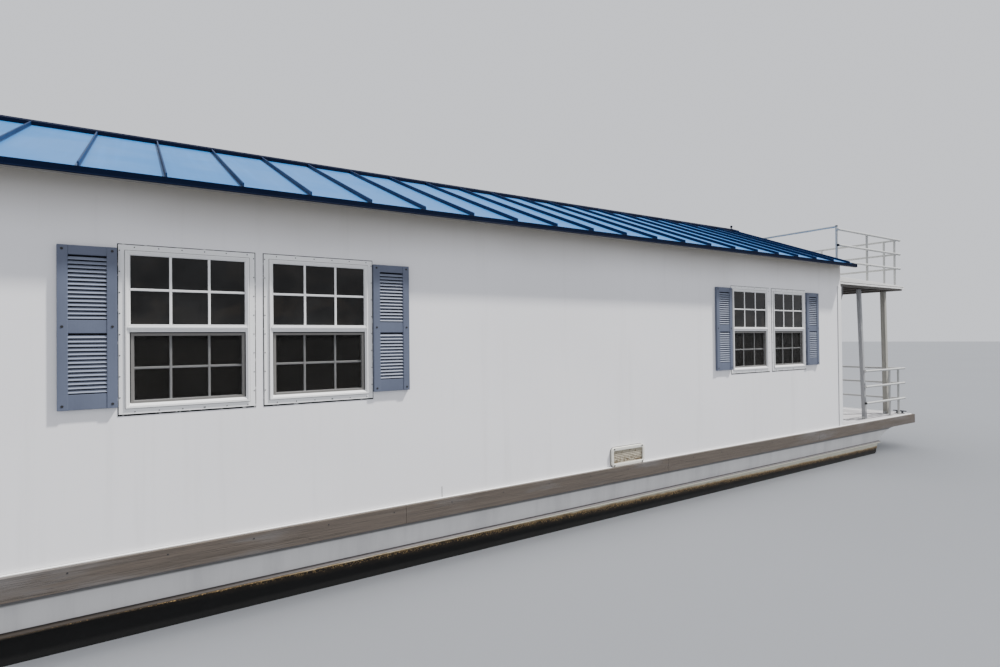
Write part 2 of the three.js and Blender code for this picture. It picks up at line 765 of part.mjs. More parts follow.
function ladder() {
  const { x, half, y, across } = LADDER;
  const top = UPPER_RAIL_ZS[2];
  const sides = [x - half, x + half];
  const stringers = sides.map((at) => box([at - 16, at + 16], [y - 16, y + 16], [DECK_TOP, top]));
  const rungs = [];
  const rungPitch = 280;
  for (let z = DECK_TOP + rungPitch; z < UPPER_DECK.bandBottom; z += rungPitch) {
    rungs.push(tube([x - half, y, z], [x + half, y, z], across - 4));
  }
  const holds = sides.map((at) =>
    box([at - 16, at + 16], [HOUSE_HALF - 60, y], [UPPER_DECK.frontTop, UPPER_DECK.aftTop + 12]),
  );
  const beside = box([x - 2 * half, x + 2 * half], [0, HOUSE_HALF + SEAT_GAP], ALL_HEIGHTS);
  const deckEdge = belowUpperDeck(SEAT_GAP).intersect(beside);
  return part("ladder", join([...stringers, ...rungs, ...holds]).subtract(deckEdge), FINISH.rail);
}

// Outboard motor

function outboardBracket() {
  const transom = -HULL_HALF_LENGTH;
  const plate = box([transom - 24, transom], [-260, 260], [RUB_BOTTOM - 440, RUB_BOTTOM - 10]);
  const arms = SIDES.map(({ sign }) =>
    alongY(
      [
        [transom - 10, TILT_Z - 500],
        [transom - 10, TILT_Z - 160],
        [TILT_X + 110, TILT_Z - 40],
        [TILT_X + 110, TILT_Z - 360],
      ],
      sign > 0 ? 130 : -160,
      sign > 0 ? 160 : -130,
    ),
  );
  const board = box([TILT_X + 60, TILT_X + 112], [-200, 200], [TILT_Z - 380, TILT_Z - 30]);
  const cheeks = SIDES.map(({ sign }) =>
    alongY(
      [
        [TILT_X + 70, TILT_Z - 330],
        [TILT_X + 70, TILT_Z + 10],
        [TILT_X, TILT_Z + 34],
        [TILT_X - 34, TILT_Z],
        [TILT_X - 10, TILT_Z - 60],
      ],
      sign > 0 ? 96 : -122,
      sign > 0 ? 122 : -96,
    ),
  );
  const pin = tube([TILT_X, -124, TILT_Z], [TILT_X, 124, TILT_Z], PIN, 16);
  return part("outboard_bracket", join([plate, ...arms, board, ...cheeks, pin]), FINISH.black);
}

const SWIVEL = { bore: 26, height: 250, half: 42, top: 20 };

function outboardSwivel() {
  const lug = tube([TILT_X, -90, TILT_Z], [TILT_X, 90, TILT_Z], 60, 12);
  const low = TILT_Z - SWIVEL.height;
  const web = box([STEER_X, TILT_X - 4], [-34, 34], [low + 20, TILT_Z + 18]);
  const sleeve = tube([STEER_X, 0, low], [STEER_X, 0, TILT_Z + SWIVEL.top], 2 * SWIVEL.half, 12);
  const bore = tube([STEER_X, 0, low - 5], [STEER_X, 0, TILT_Z + 30], SWIVEL.bore, 12);
  const pinHole = tube([TILT_X, -100, TILT_Z], [TILT_X, 100, TILT_Z], PIN + 2, 16);
  return part("outboard_swivel", join([lug, web, sleeve]).subtract(bore).subtract(pinHole), FINISH.black);
}

function outboardMotor() {
  const cowlLow = TILT_Z + PAN_LIFT + 40;
  // Cowl plan: x, y of half an outline round the steering axis
  const plan = [[200, 90], [160, 150], [0, 180], [-220, 172], [-340, 110], [-370, 0]];
  const ring = [...plan, ...plan.slice(0, 5).map(([x, y]) => [x, -y]).reverse()];
  const cowl = alongZ(ring.map(([x, y]) => [STEER_X + x, y]), cowlLow, cowlLow + 470);
  const crown = alongY(
    [
      [STEER_X - 372, cowlLow], [STEER_X + 202, cowlLow], [STEER_X + 202, cowlLow + 250],
      [STEER_X + 120, cowlLow + 400], [STEER_X - 60, cowlLow + 466], [STEER_X - 280, cowlLow + 430],
      [STEER_X - 372, cowlLow + 260],
    ],
    -200,
    200,
  );
  const head = cowl.intersect(crown);
  const panOutline = ring.map(([x, y]) => [STEER_X + x * 0.82, y * 0.72]);
  const pan = alongZ(panOutline, TILT_Z + PAN_LIFT, cowlLow + 4);
  const neck = tube([STEER_X, 0, TILT_Z + SWIVEL.top + 0.6], [STEER_X, 0, TILT_Z + PAN_LIFT + 4], 84, 12);
  const legFront = STEER_X - 66;
  const low = TILT_Z - SWIVEL.height;
  const leg = alongZ(
    [
      [legFront, 40],
      [legFront - 130, 55],
      [legFront - 200, 14],
      [legFront - 200, -14],
      [legFront - 130, -55],
      [legFront, -40],
    ],
    PROP_Z + 30,
    TILT_Z + PAN_LIFT + 4,
  );
  const shaft = tube([STEER_X, 0, low - 40], [STEER_X, 0, TILT_Z + SWIVEL.top + 10], PIN, 12);
  const foot = box([legFront - 40, STEER_X + 24], [-30, 30], [low - 60, low - 0.5]);
  const plate = alongZ(
    [[STEER_X - 20, 60], [STEER_X - 330, 110], [STEER_X - 330, -110], [STEER_X - 20, -60]],
    PROP_Z + 190,
    PROP_Z + 202,
  );
  // Radius and place along the shaft, from the nose aft
  const gearcaseProfile = [[0, -250], [22, -225], [44, -170], [52, -80], [52, 30], [38, 60], [0, 60]];
  const bullet = new THREE.LatheGeometry(
    gearcaseProfile.map(([r, h]) => new THREE.Vector2(r, h)),
    12,
  );
  bullet.rotateZ(Math.PI / 2);
  const gearcase = solid(bullet.translate(PROP_X + 70, 0, PROP_Z));
  const skeg = alongY(
    [[PROP_X + 240, PROP_Z - 10], [PROP_X + 20, PROP_Z - 10], [PROP_X + 30, 24], [PROP_X + 110, 24]],
    -8,
    8,
  );
  const pieces = [head, pan, neck, leg, shaft, foot, plate, gearcase, skeg];
  return part("outboard_motor", join(pieces), FINISH.black);
}

function propeller() {
  const hub = tube([PROP_X - 95, 0, PROP_Z], [PROP_X + 9.5, 0, PROP_Z], 70, 12);
  const blades = [0, 1, 2].map((index) => {
    const blade = new THREE.ExtrudeGeometry(
      outlineOf([[-28, 22], [-62, 90], [-46, 150], [0, 168], [44, 150], [58, 96], [26, 22]]),
      { depth: 9, bevelEnabled: false },
    );
    blade.translate(0, 0, -4.5);
    blade.rotateY(Math.PI / 2 - 0.5);
    blade.rotateX((index * 2 * Math.PI) / 3);
    return solid(blade.translate(PROP_X - 42, 0, PROP_Z));
  });
  return part("propeller", join([hub, ...blades]), FINISH.metal);
}

// The whole boat

const houseboat = new THREE.Group();
houseboat.name = "houseboat";

houseboat.add(hull(), mainDeck(), rubRail());
houseboat.add(
  cleat("cleat_bow_starboard", 7920, -2020),
  cleat("cleat_bow_port", 7920, 2020),
  cleat("cleat_stern_starboard", -7700, -1800),
  cleat("cleat_stern_port", -7700, 1800),
);
houseboat.add(frontWall(), aftWall(), frontDoorFixed(), frontDoorSlider(), aftDoor());
houseboat.add(ventLouvre(), ridgeCap());
houseboat.add(upperDeck(), ...upperRails(), lowerRail(), ladder());
for (const side of SIDES) {
  houseboat.add(sideWall(side), roofHalf(side), eaveTrim(side), sternRail(side), openings(side));
  for (const row of POSTS) {
    houseboat.add(post(row, side));
  }
}
houseboat.add(outboardBracket(), outboardSwivel(), outboardMotor(), propeller());

export default houseboat;
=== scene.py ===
"""Looks of the houseboat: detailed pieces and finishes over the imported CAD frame.

Metres, in the frame of the CAD: +X is towards the bow, +Y to port, +Z up, and the
origin is in the middle of the hull's flat bottom.
"""
import logging
import math
from collections.abc import Callable, Iterator, Sequence
from contextlib import contextmanager
from dataclasses import dataclass
from enum import Enum
from functools import lru_cache

import bmesh
import bpy
from mathutils import Matrix, Vector


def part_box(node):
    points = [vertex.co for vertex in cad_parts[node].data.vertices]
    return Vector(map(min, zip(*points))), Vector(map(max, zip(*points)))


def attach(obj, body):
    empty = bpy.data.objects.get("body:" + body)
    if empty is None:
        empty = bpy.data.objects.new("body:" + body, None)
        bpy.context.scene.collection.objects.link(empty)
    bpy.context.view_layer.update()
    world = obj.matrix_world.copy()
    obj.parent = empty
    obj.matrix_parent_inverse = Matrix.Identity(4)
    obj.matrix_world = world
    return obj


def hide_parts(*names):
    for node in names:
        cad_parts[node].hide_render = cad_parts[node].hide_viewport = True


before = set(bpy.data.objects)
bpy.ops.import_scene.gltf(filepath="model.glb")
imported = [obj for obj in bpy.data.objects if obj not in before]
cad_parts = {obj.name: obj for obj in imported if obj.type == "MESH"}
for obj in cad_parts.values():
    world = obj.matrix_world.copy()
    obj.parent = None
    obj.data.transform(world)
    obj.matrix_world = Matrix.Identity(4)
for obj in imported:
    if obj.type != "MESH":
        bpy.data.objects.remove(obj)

log = logging.getLogger("houseboat")

Point = tuple[float, float, float]
Colour = tuple[float, float, float, float]
Outline = tuple[tuple[float, float], ...]
Piece = bpy.types.Object
Socket = bpy.types.NodeSocket
Value = Socket | float
Element = bmesh.types.BMVert | bmesh.types.BMEdge | bmesh.types.BMFace

WATERLINE = 0.400
CHINE_Z = 0.610
RUB_BOTTOM = 0.860
DECK_TOP = 1.030
HULL_HALF_LENGTH = 8.010
HULL_HALF_BEAM = 2.180
RUB_OUT = 2.230
HOUSE_AFT = -6.840
HOUSE_FRONT = 5.370
HOUSE_HALF = 2.170
RIDGE_Z = 4.800
EAVE_Z = 3.830
EAVE_HALF = 2.375
ROOF_FRONT = 5.480
ROOF_AFT = -7.000
SLOPE = (RIDGE_Z - EAVE_Z) / EAVE_HALF
UPPER_FRONT = 7.810
UPPER_HIGH = 3.634
UPPER_LOW = 3.561
BEAM_BOTTOM = 3.475
BOTH = (-1, 1)
OUTWARD = Vector((0, -1, 0))
FORWARD = Vector((1, 0, 0))


class Side(Enum):
    """A side of the boat, with the sign of its Y."""

    STARBOARD = -1
    PORT = 1

    @property
    def label(self) -> str:
        """The side's name as the CAD nodes spell it."""
        return self.name.lower()


class Axis(Enum):
    """An axis of the frame, with its place in a vector."""

    X = 0
    Y = 1
    Z = 2

    @property
    def unit(self) -> Vector:
        """The axis as a unit vector."""
        return Vector([1.0 if place == self.value else 0.0 for place in range(3)])


def roof_top(y: float) -> float:
    """The height of the roof's panels at a distance from the middle of the boat."""
    return RIDGE_Z - SLOPE * abs(y)


def upper_top(x: float) -> float:
    """The height of the upper deck's top at a place along the boat."""
    return UPPER_HIGH - (x - HOUSE_FRONT) * (UPPER_HIGH - UPPER_LOW) / (UPPER_FRONT - HOUSE_FRONT)


def srgb(red: float, green: float, blue: float) -> Colour:
    """A colour given in 0 to 255 steps, as the linear colour that a shader takes."""
    return (*[(step / 255.0) ** 2.2 for step in (red, green, blue)], 1.0)


# Modelling moves


def pick_nothing() -> None:
    """Selects no piece."""
    bpy.ops.object.select_all(action="DESELECT")


def pick_all() -> None:
    """Selects everything of the piece in edit mode."""
    bpy.ops.mesh.select_all(action="SELECT")


def only(piece: Piece) -> None:
    """Selects one piece alone and makes it active."""
    pick_nothing()
    piece.select_set(True)
    bpy.context.view_layer.objects.active = piece


def named(piece: Piece, name: str) -> Piece:
    """Names a piece and its mesh."""
    piece.name = piece.data.name = name
    return piece


def settle(name: str) -> Piece:
    """Names the primitive that was just added and applies its place to its mesh."""
    bpy.ops.object.transform_apply(location=True, rotation=True, scale=True)
    return named(bpy.context.active_object, name)


@contextmanager
def editing(piece: Piece, mode: str = "FACE") -> Iterator[None]:
    """Opens a piece in edit mode with nothing selected.

    Args:
        piece: The piece to edit.
        mode: Which elements the selection works on.
    """
    only(piece)
    bpy.ops.object.mode_set(mode="EDIT")
    bpy.ops.mesh.select_mode(type=mode)
    bpy.ops.mesh.select_all(action="DESELECT")
    yield
    bpy.ops.object.mode_set(mode="OBJECT")


def pick(piece: Piece, kind: str, test: Callable[[Element], bool]) -> None:
    """Selects some vertices, edges or faces in edit mode.

    Args:
        piece: The piece in edit mode.
        kind: "verts", "edges" or "faces".
        test: Says of one of them whether it is selected.
    """
    mesh = bmesh.from_edit_mesh(piece.data)
    for element in getattr(mesh, kind):
        element.select_set(test(element))
    bmesh.update_edit_mesh(piece.data)


def direction(edge: bmesh.types.BMEdge) -> Vector:
    """The way that an edge runs, as a unit vector."""
    return (edge.verts[1].co - edge.verts[0].co).normalized()


def soften(piece: Piece, width: float, segments: int = 1, angle: float = 30.0) -> Piece:
    """Rounds a piece's sharp edges with a bevel modifier that is applied.

    Args:
        piece: The piece.
        width: The bevel's width.
        segments: How many faces the bevel has.
        angle: The least angle, in degrees, of an edge that is rounded.

    Returns:
        The same piece.
    """
    only(piece)
    bevel = piece.modifiers.new("round", "BEVEL")
    bevel.width = width
    bevel.segments = segments
    bevel.limit_method = "ANGLE"
    bevel.angle_limit = math.radians(angle)
    bevel.harden_normals = False
    bpy.ops.object.modifier_apply(modifier=bevel.name)
    return piece


def block(name: str, one: Point, other: Point, edge: float = 0.002, segments: int = 1) -> Piece:
    """A cuboid between two opposite corners, with its edges bevelled.

    Args:
        name: The piece's name.
        one: One corner.
        other: The corner across from it.
        edge: The bevel's width.
        segments: How many faces the bevel has.

    Returns:
        The piece.
    """
    start, end = Vector(one), Vector(other)
    size = [abs(length) for length in end - start]
    pick_nothing()
    bpy.ops.mesh.primitive_cube_add(size=1.0, location=(start + end) / 2, scale=size)
    piece = settle(name)
    if edge:
        with editing(piece):
            pick_all()
            bpy.ops.mesh.bevel(offset=edge, segments=segments, affect="EDGES", clamp_overlap=True)
    return piece


def rod(name: str, start: Point, end: Point, radius: float, sides: int = 20, rim: float = 0.0) -> Piece:
    """A round bar between two points.

    Args:
        name: The piece's name.
        start: The middle of one end.
        end: The middle of the other end.
        radius: The bar's radius.
        sides: How many faces go round it.
        rim: The bevel's width round its ends.

    Returns:
        The piece.
    """
    along = Vector(end) - Vector(start)
    pick_nothing()
    bpy.ops.mesh.primitive_cylinder_add(
        vertices=sides,
        radius=radius,
        depth=along.length,
        location=(Vector(start) + Vector(end)) / 2,
        rotation=along.to_track_quat("Z", "Y").to_euler(),
    )
    piece = settle(name)
    if rim:
        across = along.normalized()
        with editing(piece):
            pick(piece, "faces", lambda face: abs(face.normal.dot(across)) > 0.9)
            bpy.ops.mesh.bevel(offset=rim, segments=2, affect="EDGES", clamp_overlap=True)
    return piece


def trace(name: str, points: Sequence[Point]) -> Piece:
    """A chain of edges through points, drawn from a plane merged to its middle.

    Args:
        name: The piece's name.
        points: The points in order.

    Returns:
        The piece, which has edges and no faces.
    """
    places = [Vector(point) for point in points]
    pick_nothing()
    bpy.ops.mesh.primitive_plane_add(size=0.01, location=places[0])
    piece = settle(name)
    with editing(piece, "VERT"):
        pick_all()
        bpy.ops.mesh.merge(type="CENTER")
        for here, there in zip(places, places[1:]):
            bpy.ops.mesh.extrude_region_move(TRANSFORM_OT_translate={"value": there - here})
    return piece


def swept(name: str, outline: Sequence[Point], along: Point, edge: float = 0.0, segments: int = 1) -> Piece:
    """A solid whose closed outline is filled and extruded.

    Args:
        name: The piece's name.
        outline: The outline's corners in order.
        along: How far and which way it is extruded.
        edge: The width of a bevel on its sharp edges.
        segments: How many faces the bevel has.

    Returns:
        The piece.
    """
    piece = trace(name, outline)
    with editing(piece, "VERT"):
        pick(piece, "verts", lambda vertex: len(vertex.link_edges) == 1)
        bpy.ops.mesh.edge_face_add()
        pick_all()
        bpy.ops.mesh.edge_face_add()
        bpy.ops.mesh.extrude_region_move(TRANSFORM_OT_translate={"value": Vector(along)})
        pick_all()
        bpy.ops.mesh.normals_make_consistent(inside=False)
    return soften(piece, edge, segments) if edge else piece


def turned(name: str, profile: Sequence[Point], centre: Point, axis: Axis, steps: int = 24) -> Piece:
    """A solid of revolution: a profile drawn from axis to axis and spun.

    Args:
        name: The piece's name.
        profile: The profile's points, the first and last of them on the axis.
        centre: A point on the axis.
        axis: The axis.
        steps: How many faces go round.

    Returns:
        The piece.
    """
    piece = trace(name, profile)
    with editing(piece, "VERT"):
        pick_all()
        bpy.ops.mesh.spin(steps=steps, angle=math.tau, center=centre, axis=axis.unit)
        pick_all()
        bpy.ops.mesh.remove_doubles(threshold=1e-5)
        bpy.ops.mesh.normals_make_consistent(inside=False)
    return piece


def ring(
    name: str,
    one: Point,
    other: Point,
    rim: float,
    through: Axis = Axis.Y,
    edge: float = 0.0015,
    corner: float = 0.0,
) -> Piece:
    """A flat frame: a block whose two broad faces are inset and bridged.

    Args:
        name: The piece's name.
        one: One corner.
        other: The corner across from it.
        rim: How wide the frame is all round.
        through: The axis along which the opening goes through.
        edge: The width of a bevel on its edges.
        corner: The radius of its outer corners.

    Returns:
        The piece.
    """
    piece = block(name, one, other, edge=0.0)
    place = through.value
    if corner:
        with editing(piece, "EDGE"):
            pick(piece, "edges", lambda edge: abs(direction(edge)[place]) > 0.99)
            bpy.ops.mesh.bevel(offset=corner, segments=5, affect="EDGES", clamp_overlap=True)
    with editing(piece):
        pick(piece, "faces", lambda face: abs(face.normal[place]) > 0.9)
        bpy.ops.mesh.inset(thickness=rim, use_individual=True, use_even_offset=True)
        bpy.ops.mesh.bridge_edge_loops()
    return soften(piece, edge) if edge else piece


def joined(name: str, pieces: Sequence[Piece]) -> Piece:
    """Joins pieces into one.

    Args:
        name: The whole's name.
        pieces: What is joined.

    Returns:
        The whole.
    """
    only(pieces[0])
    for piece in pieces:
        piece.select_set(True)
    if len(pieces) > 1:
        bpy.ops.object.join()
    return named(pieces[0], name)


def copied(piece: Piece, name: str, place: Matrix) -> Piece:
    """A copy of a piece with a mesh of its own.

    Args:
        piece: What is copied.
        name: The copy's name.
        place: What the copy's mesh is moved, turned or mirrored by.

    Returns:
        The copy.
    """
    twin = piece.copy()
    twin.data = piece.data.copy()
    named(twin, name)
    bpy.context.scene.collection.objects.link(twin)
    twin.data.transform(place)
    if place.determinant() < 0:
        twin.data.flip_normals()
    return twin


def scattered(name: str, master: Piece, places: Sequence[Point]) -> Piece:
    """Copies of a small piece at many places, joined; the small piece is used up.

    Args:
        name: The whole's name.
        master: The small piece, modelled at the origin.
        places: Where the copies go.

    Returns:
        The whole.
    """
    moves = [Matrix.Translation(place) for place in places]
    twins = [copied(master, f"{name}_{index}", move) for index, move in enumerate(moves)]
    bpy.data.objects.remove(master)
    return joined(name, twins)


def merged_copy(node: str, name: str) -> Piece:
    """A copy of a CAD node with its loose triangles merged into larger faces.

    Args:
        node: The CAD node.
        name: The copy's name.

    Returns:
        The copy, parented to nothing.
    """
    piece = copied(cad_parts[node], name, Matrix.Identity(4))
    piece.parent = None
    piece.matrix_world = Matrix.Identity(4)
    for key in [key for key in piece.keys() if key.startswith("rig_")]:
        del piece[key]
    with editing(piece, "VERT"):
        pick_all()
        bpy.ops.mesh.remove_doubles(threshold=1e-5)
        bpy.ops.mesh.dissolve_limited(angle_limit=math.radians(0.5))
    return piece


def screw_head(radius: float, proud: float, facing: Vector, sides: int = 10) -> Piece:
    """A domed screw head at the origin, modelled once for many copies.

    Args:
        radius: The head's radius.
        proud: How far it stands out.
        facing: The way its top faces.
        sides: How many faces go round it.

    Returns:
        The head.
    """
    return rod("head", -facing * proud * 0.5, facing * proud, radius, sides, rim=radius * 0.35)


# Finishes


class Graph:
    """A material's node tree, with short calls for the nodes that the finishes use."""

    def __init__(self, name: str) -> None:
        """Starts a material with its shader and its Object coordinates.

        Args:
            name: The material's name.
        """
        self.material = bpy.data.materials.new(name)
        self.material.use_nodes = True
        self.tree = self.material.node_tree
        self.shader = self.tree.nodes["Principled BSDF"]
        self.place = self.tree.nodes.new("ShaderNodeTexCoord").outputs["Object"]

    def add(self, kind: str, inputs: dict, **settings: object) -> bpy.types.Node:
        """Adds a node.

        Args:
            kind: The node's type.
            inputs: Its inputs by name or number: sockets to link or plain values.
            **settings: Its own properties.

        Returns:
            The node.
        """
        node = self.tree.nodes.new(kind)
        for name, value in settings.items():
            setattr(node, name, value)
        for name, value in inputs.items():
            if isinstance(value, Socket):
                self.tree.links.new(value, node.inputs[name])
            else:
                node.inputs[name].default_value = value
        return node

    def stretched(self, scale: Point) -> Socket:
        """The Object coordinates, scaled along each axis."""
        return self.add("ShaderNodeMapping", {"Vector": self.place, "Scale": scale}).outputs["Vector"]

    def noise(self, scale: Point, detail: float = 3.0, rough: float = 0.5, twist: float = 0.0) -> Socket:
        """Noise from 0 to 1 with so many features a metre along each axis.

        Args:
            scale: Features a metre along X, Y and Z.
            detail: How many finer layers it has.
            rough: How strong the finer layers are.
            twist: How far it is distorted.

        Returns:
            The noise.
        """
        inputs = {"Vector": self.stretched(scale), "Scale": 1.0, "Detail": detail, "Roughness": rough}
        return self.add("ShaderNodeTexNoise", {**inputs, "Distortion": twist}).outputs["Fac"]

    def coordinate(self, axis: Axis) -> Socket:
        """The Object coordinate along one axis."""
        return self.add("ShaderNodeSeparateXYZ", {0: self.place}).outputs[axis.value]

    def sums(self, operation: str, first: Value, second: Value = 0.0) -> Socket:
        """A Math node's result."""
        return self.add("ShaderNodeMath", {0: first, 1: second}, operation=operation).outputs[0]

    def plus(self, first: Value, second: Value) -> Socket:
        """The sum of two values."""
        return self.sums("ADD", first, second)

    def times(self, first: Value, second: Value) -> Socket:
        """The product of two values."""
        return self.sums("MULTIPLY", first, second)

    def level(self, value: Socket, start: float, end: float, low: float = 0.0, high: float = 1.0) -> Socket:
        """Maps a value's span on to another, smoothly and clamped.

        Args:
            value: The value.
            start: Where its span starts.
            end: Where its span ends.
            low: The result at the start.
            high: The result at the end.

        Returns:
            The result.
        """
        inputs = {"Value": value, "From Min": start, "From Max": end, "To Min": low, "To Max": high}
        return self.add("ShaderNodeMapRange", inputs, interpolation_type="SMOOTHSTEP").outputs["Result"]

    def mix(self, share: Value, first: Socket | Colour, second: Socket | Colour) -> Socket:
        """Mixes two colours by a share of the second."""
        return self.add("ShaderNodeMix", {0: share, 6: first, 7: second}, data_type="RGBA").outputs[2]

    def set(self, **values: object) -> None:
        """Sets or links the shader's inputs, with _ in a name for each space."""
        for name, value in values.items():
            socket = self.shader.inputs[name.replace("_", " ")]
            if isinstance(value, Socket):
                self.tree.links.new(value, socket)
            else:
                socket.default_value = value

    def bump(self, height: Socket, deep: float, strength: float = 1.0) -> None:
        """Gives the shader a bump from a height of 0 to 1.

        Args:
            height: The height.
            deep: How deep the bump is in metres.
            strength: How much of it is used.
        """
        inputs = {"Height": height, "Distance": deep, "Strength": strength}
        self.set(Normal=self.add("ShaderNodeBump", inputs).outputs["Normal"])


@dataclass(frozen=True)
class Finish:
    """A finish with slight unevenness in its colour and gloss.

    Attributes:
        name: What the material is called.
        slot: The record's material slot.
        colour: The base colour.
        rough: The roughness.
        metal: 1 for bare metal.
        gloss: The specular level, 0.5 for plain paint or plastic.
        uneven: How far the colour varies, as a share.
        grain: Features a metre in the fine unevenness.
    """

    name: str
    slot: str
    colour: Colour
    rough: float = 0.5
    metal: float = 0.0
    gloss: float = 0.5
    uneven: float = 0.08
    grain: float = 60.0

    @lru_cache(maxsize=None)
    def material(self) -> bpy.types.Material:
        """The finish's material, built once."""
        graph = Graph(self.name)
        graph.set(Roughness=self.rough, Metallic=self.metal, Specular_IOR_Level=self.gloss)
        graph.set(Base_Color=self.colour)
        self.paint(graph)
        return graph.material

    def shade(self, share: float) -> Colour:
        """The base colour, lighter or darker by a factor."""
        return (*[min(1.0, part * share) for part in self.colour[:3]], 1.0)

    def paint(self, graph: Graph) -> None:
        """Adds the finish's nodes: soft blotches, fine grain and uneven gloss.

        Args:
            graph: The material, which each kind of finish paints in its own way.
        """
        blotch = graph.noise((1.3, 1.3, 1.3), detail=4.0)
        grain = graph.noise((self.grain,) * 3, detail=3.0)
        both = graph.plus(graph.times(blotch, 0.7), graph.times(grain, 0.3))
        share = graph.level(both, 0.3, 0.7)
        graph.set(Base_Color=graph.mix(share, self.shade(1 - self.uneven), self.shade(1 + self.uneven / 2)))
        graph.set(Roughness=graph.level(both, 0.3, 0.7, self.rough + 0.08, self.rough - 0.06))
        graph.bump(grain, 0.0004, 0.4)


@dataclass(frozen=True)
class HullPaint(Finish):
    """Pale paint with dark grey lines at the chine, painted shade in the flange's crease, and stain and weed
    above the waterline.

    Attributes:
        cream: The colour under the chine.
        line: The colour of the lines at the chine, painted shade in the flange's crease.
        scum: The stain's colour.
        weed: The growth's colour.
        below: The colour at the waterline.
        lines: The lowest and highest edge of each line.
        shadow: The heights between which the rail's shadow sets in.
        scummed: The heights between which the stain sets in.
        specked: The heights between which specks of growth set in.
        weeded: The heights between which the growth closes.
        soaked: The heights between which it turns black.
    """

    cream: Colour = srgb(206, 204, 186)
    line: Colour = srgb(84, 80, 80)
    scum: Colour = srgb(166, 130, 68)
    weed: Colour = srgb(34, 26, 13)
    below: Colour = srgb(7, 7, 5)
    lines: Outline = ((0.596, 0.603), (0.612, 0.632))
    shadow: tuple[float, float] = (0.804, 0.824)
    scummed: tuple[float, float] = (0.592, 0.550)
    specked: tuple[float, float] = (0.585, 0.53)
    weeded: tuple[float, float] = (0.535, 0.505)
    soaked: tuple[float, float] = (0.515, 0.475)

    def paint(self, graph: Graph) -> None:
        """Adds streaked paint, then the bands by height with ragged borders, higher towards the stern."""
        height, along = graph.coordinate(Axis.Z), graph.coordinate(Axis.X)
        streak = graph.noise((5.0, 5.0, 0.5), detail=5.0, rough=0.6)
        ragged = graph.noise((7.0, 7.0, 10.0), detail=8.0, rough=0.7)
        speck = graph.noise((60.0, 60.0, 70.0), detail=5.0, rough=0.75)
        raised = graph.plus(height, graph.times(graph.sums("SUBTRACT", ragged, 0.5), 0.06))
        raised = graph.plus(raised, graph.level(along, -1.0, 6.0, 0.0, 0.040))
        fouled = graph.plus(
            graph.level(along, 0.5, -3.0, 0.0, 0.034), graph.level(along, -3.0, -6.0, 0.0, 0.068)
        )
        fouled = graph.times(fouled, graph.level(height, CHINE_Z + 0.0025, CHINE_Z + 0.0010))
        raised = graph.sums("SUBTRACT", raised, fouled)
        paint = graph.mix(graph.level(streak, 0.35, 0.75), self.shade(1.04), self.shade(0.88))
        paint = graph.mix(graph.level(height, *self.shadow, 0.0, 0.9), paint, self.shade(0.12))
        # The dark line over the chine is painted shade in the crease above the flange; towards the stern it
        # takes the weed's brown.
        line = graph.mix(graph.level(along, -2.5, -5.5, 0.0, 0.85), self.line, self.weed)
        for low, high in self.lines:
            band = graph.times(graph.level(height, low - 0.003, low), graph.level(height, high + 0.003, high))
            paint = graph.mix(band, paint, line)
        paint = graph.mix(graph.level(height, CHINE_Z + 0.0015, CHINE_Z + 0.0005), paint, self.cream)
        paint = graph.mix(graph.level(raised, *self.scummed, 0.0, 0.88), paint, self.scum)
        specked = graph.times(graph.level(raised, *self.specked), graph.level(speck, 0.37, 0.50))
        paint = graph.mix(specked, paint, self.weed)
        paint = graph.mix(graph.level(raised, *self.weeded), paint, self.weed)
        graph.set(Base_Color=graph.mix(graph.level(raised, *self.soaked), paint, self.below))
        graph.set(Roughness=graph.level(raised, 0.46, 0.60, 0.85, self.rough))
        graph.bump(graph.times(speck, graph.level(raised, 0.60, 0.46)), 0.002, 0.8)


@dataclass(frozen=True)
class WeatheredTimber(Finish):
    """Bare silver-brown planks with long grain, cracks and bluish patches.

    Attributes:
        along: The axis along which the planks run.
        plank: A plank's length.
        joint: Where one of them starts.
    """

    along: Axis = Axis.X
    plank: float = 3.658
    joint: float = 0.850

    def grained(self, graph: Graph, long: float, across: float, **more: float) -> Socket:
        """Noise that is stretched along the planks."""
        scale = [long if place == self.along.value else across for place in range(3)]
        return graph.noise(tuple(scale), **more)

    def paint(self, graph: Graph) -> None:
        """Adds plank tints, grain, dark cracks and grey weathered patches."""
        fibre = self.grained(graph, 2.2, 190.0, detail=6.0, rough=0.65)
        figure = self.grained(graph, 0.9, 34.0, detail=4.0, rough=0.55, twist=0.6)
        patch = self.grained(graph, 0.8, 5.0, detail=4.0, rough=0.6)
        run = graph.sums("SUBTRACT", graph.coordinate(self.along), self.joint)
        number = graph.sums("FLOOR", graph.sums("DIVIDE", run, self.plank))
        tint = graph.add("ShaderNodeTexWhiteNoise", {"W": number}, noise_dimensions="1D").outputs["Value"]
        wood = graph.mix(graph.level(fibre, 0.3, 0.7), self.shade(0.72), self.shade(1.14))
        wood = graph.mix(graph.level(figure, 0.4, 0.7, 0.0, 0.5), wood, self.shade(0.62))
        wood = graph.mix(graph.level(patch, 0.5, 0.72, 0.0, 0.55), wood, srgb(110, 109, 110))
        wood = graph.mix(graph.times(tint, 0.14), wood, self.shade(0.66))
        graph.set(Base_Color=wood, Roughness=0.88)
        cracks = graph.level(fibre, 0.34, 0.46)
        graph.bump(graph.plus(graph.times(cracks, 0.6), graph.times(fibre, 0.4)), 0.0025, 0.9)


@dataclass(frozen=True)
class BrokenCaulk(Finish):
    """A dark bead of sealant, smeared over with white in places.

    Attributes:
        smear: The white's colour.
    """

    smear: Colour = srgb(196, 196, 194)

    def paint(self, graph: Graph) -> None:
        """Breaks the dark bead up along its length."""
        breaks = graph.noise((17.0, 17.0, 17.0), detail=4.0, rough=0.7)
        graph.set(Base_Color=graph.mix(graph.level(breaks, 0.54, 0.64, 0.0, 0.8), self.colour, self.smear))
        graph.bump(graph.noise((120.0, 120.0, 120.0)), 0.0008, 0.7)


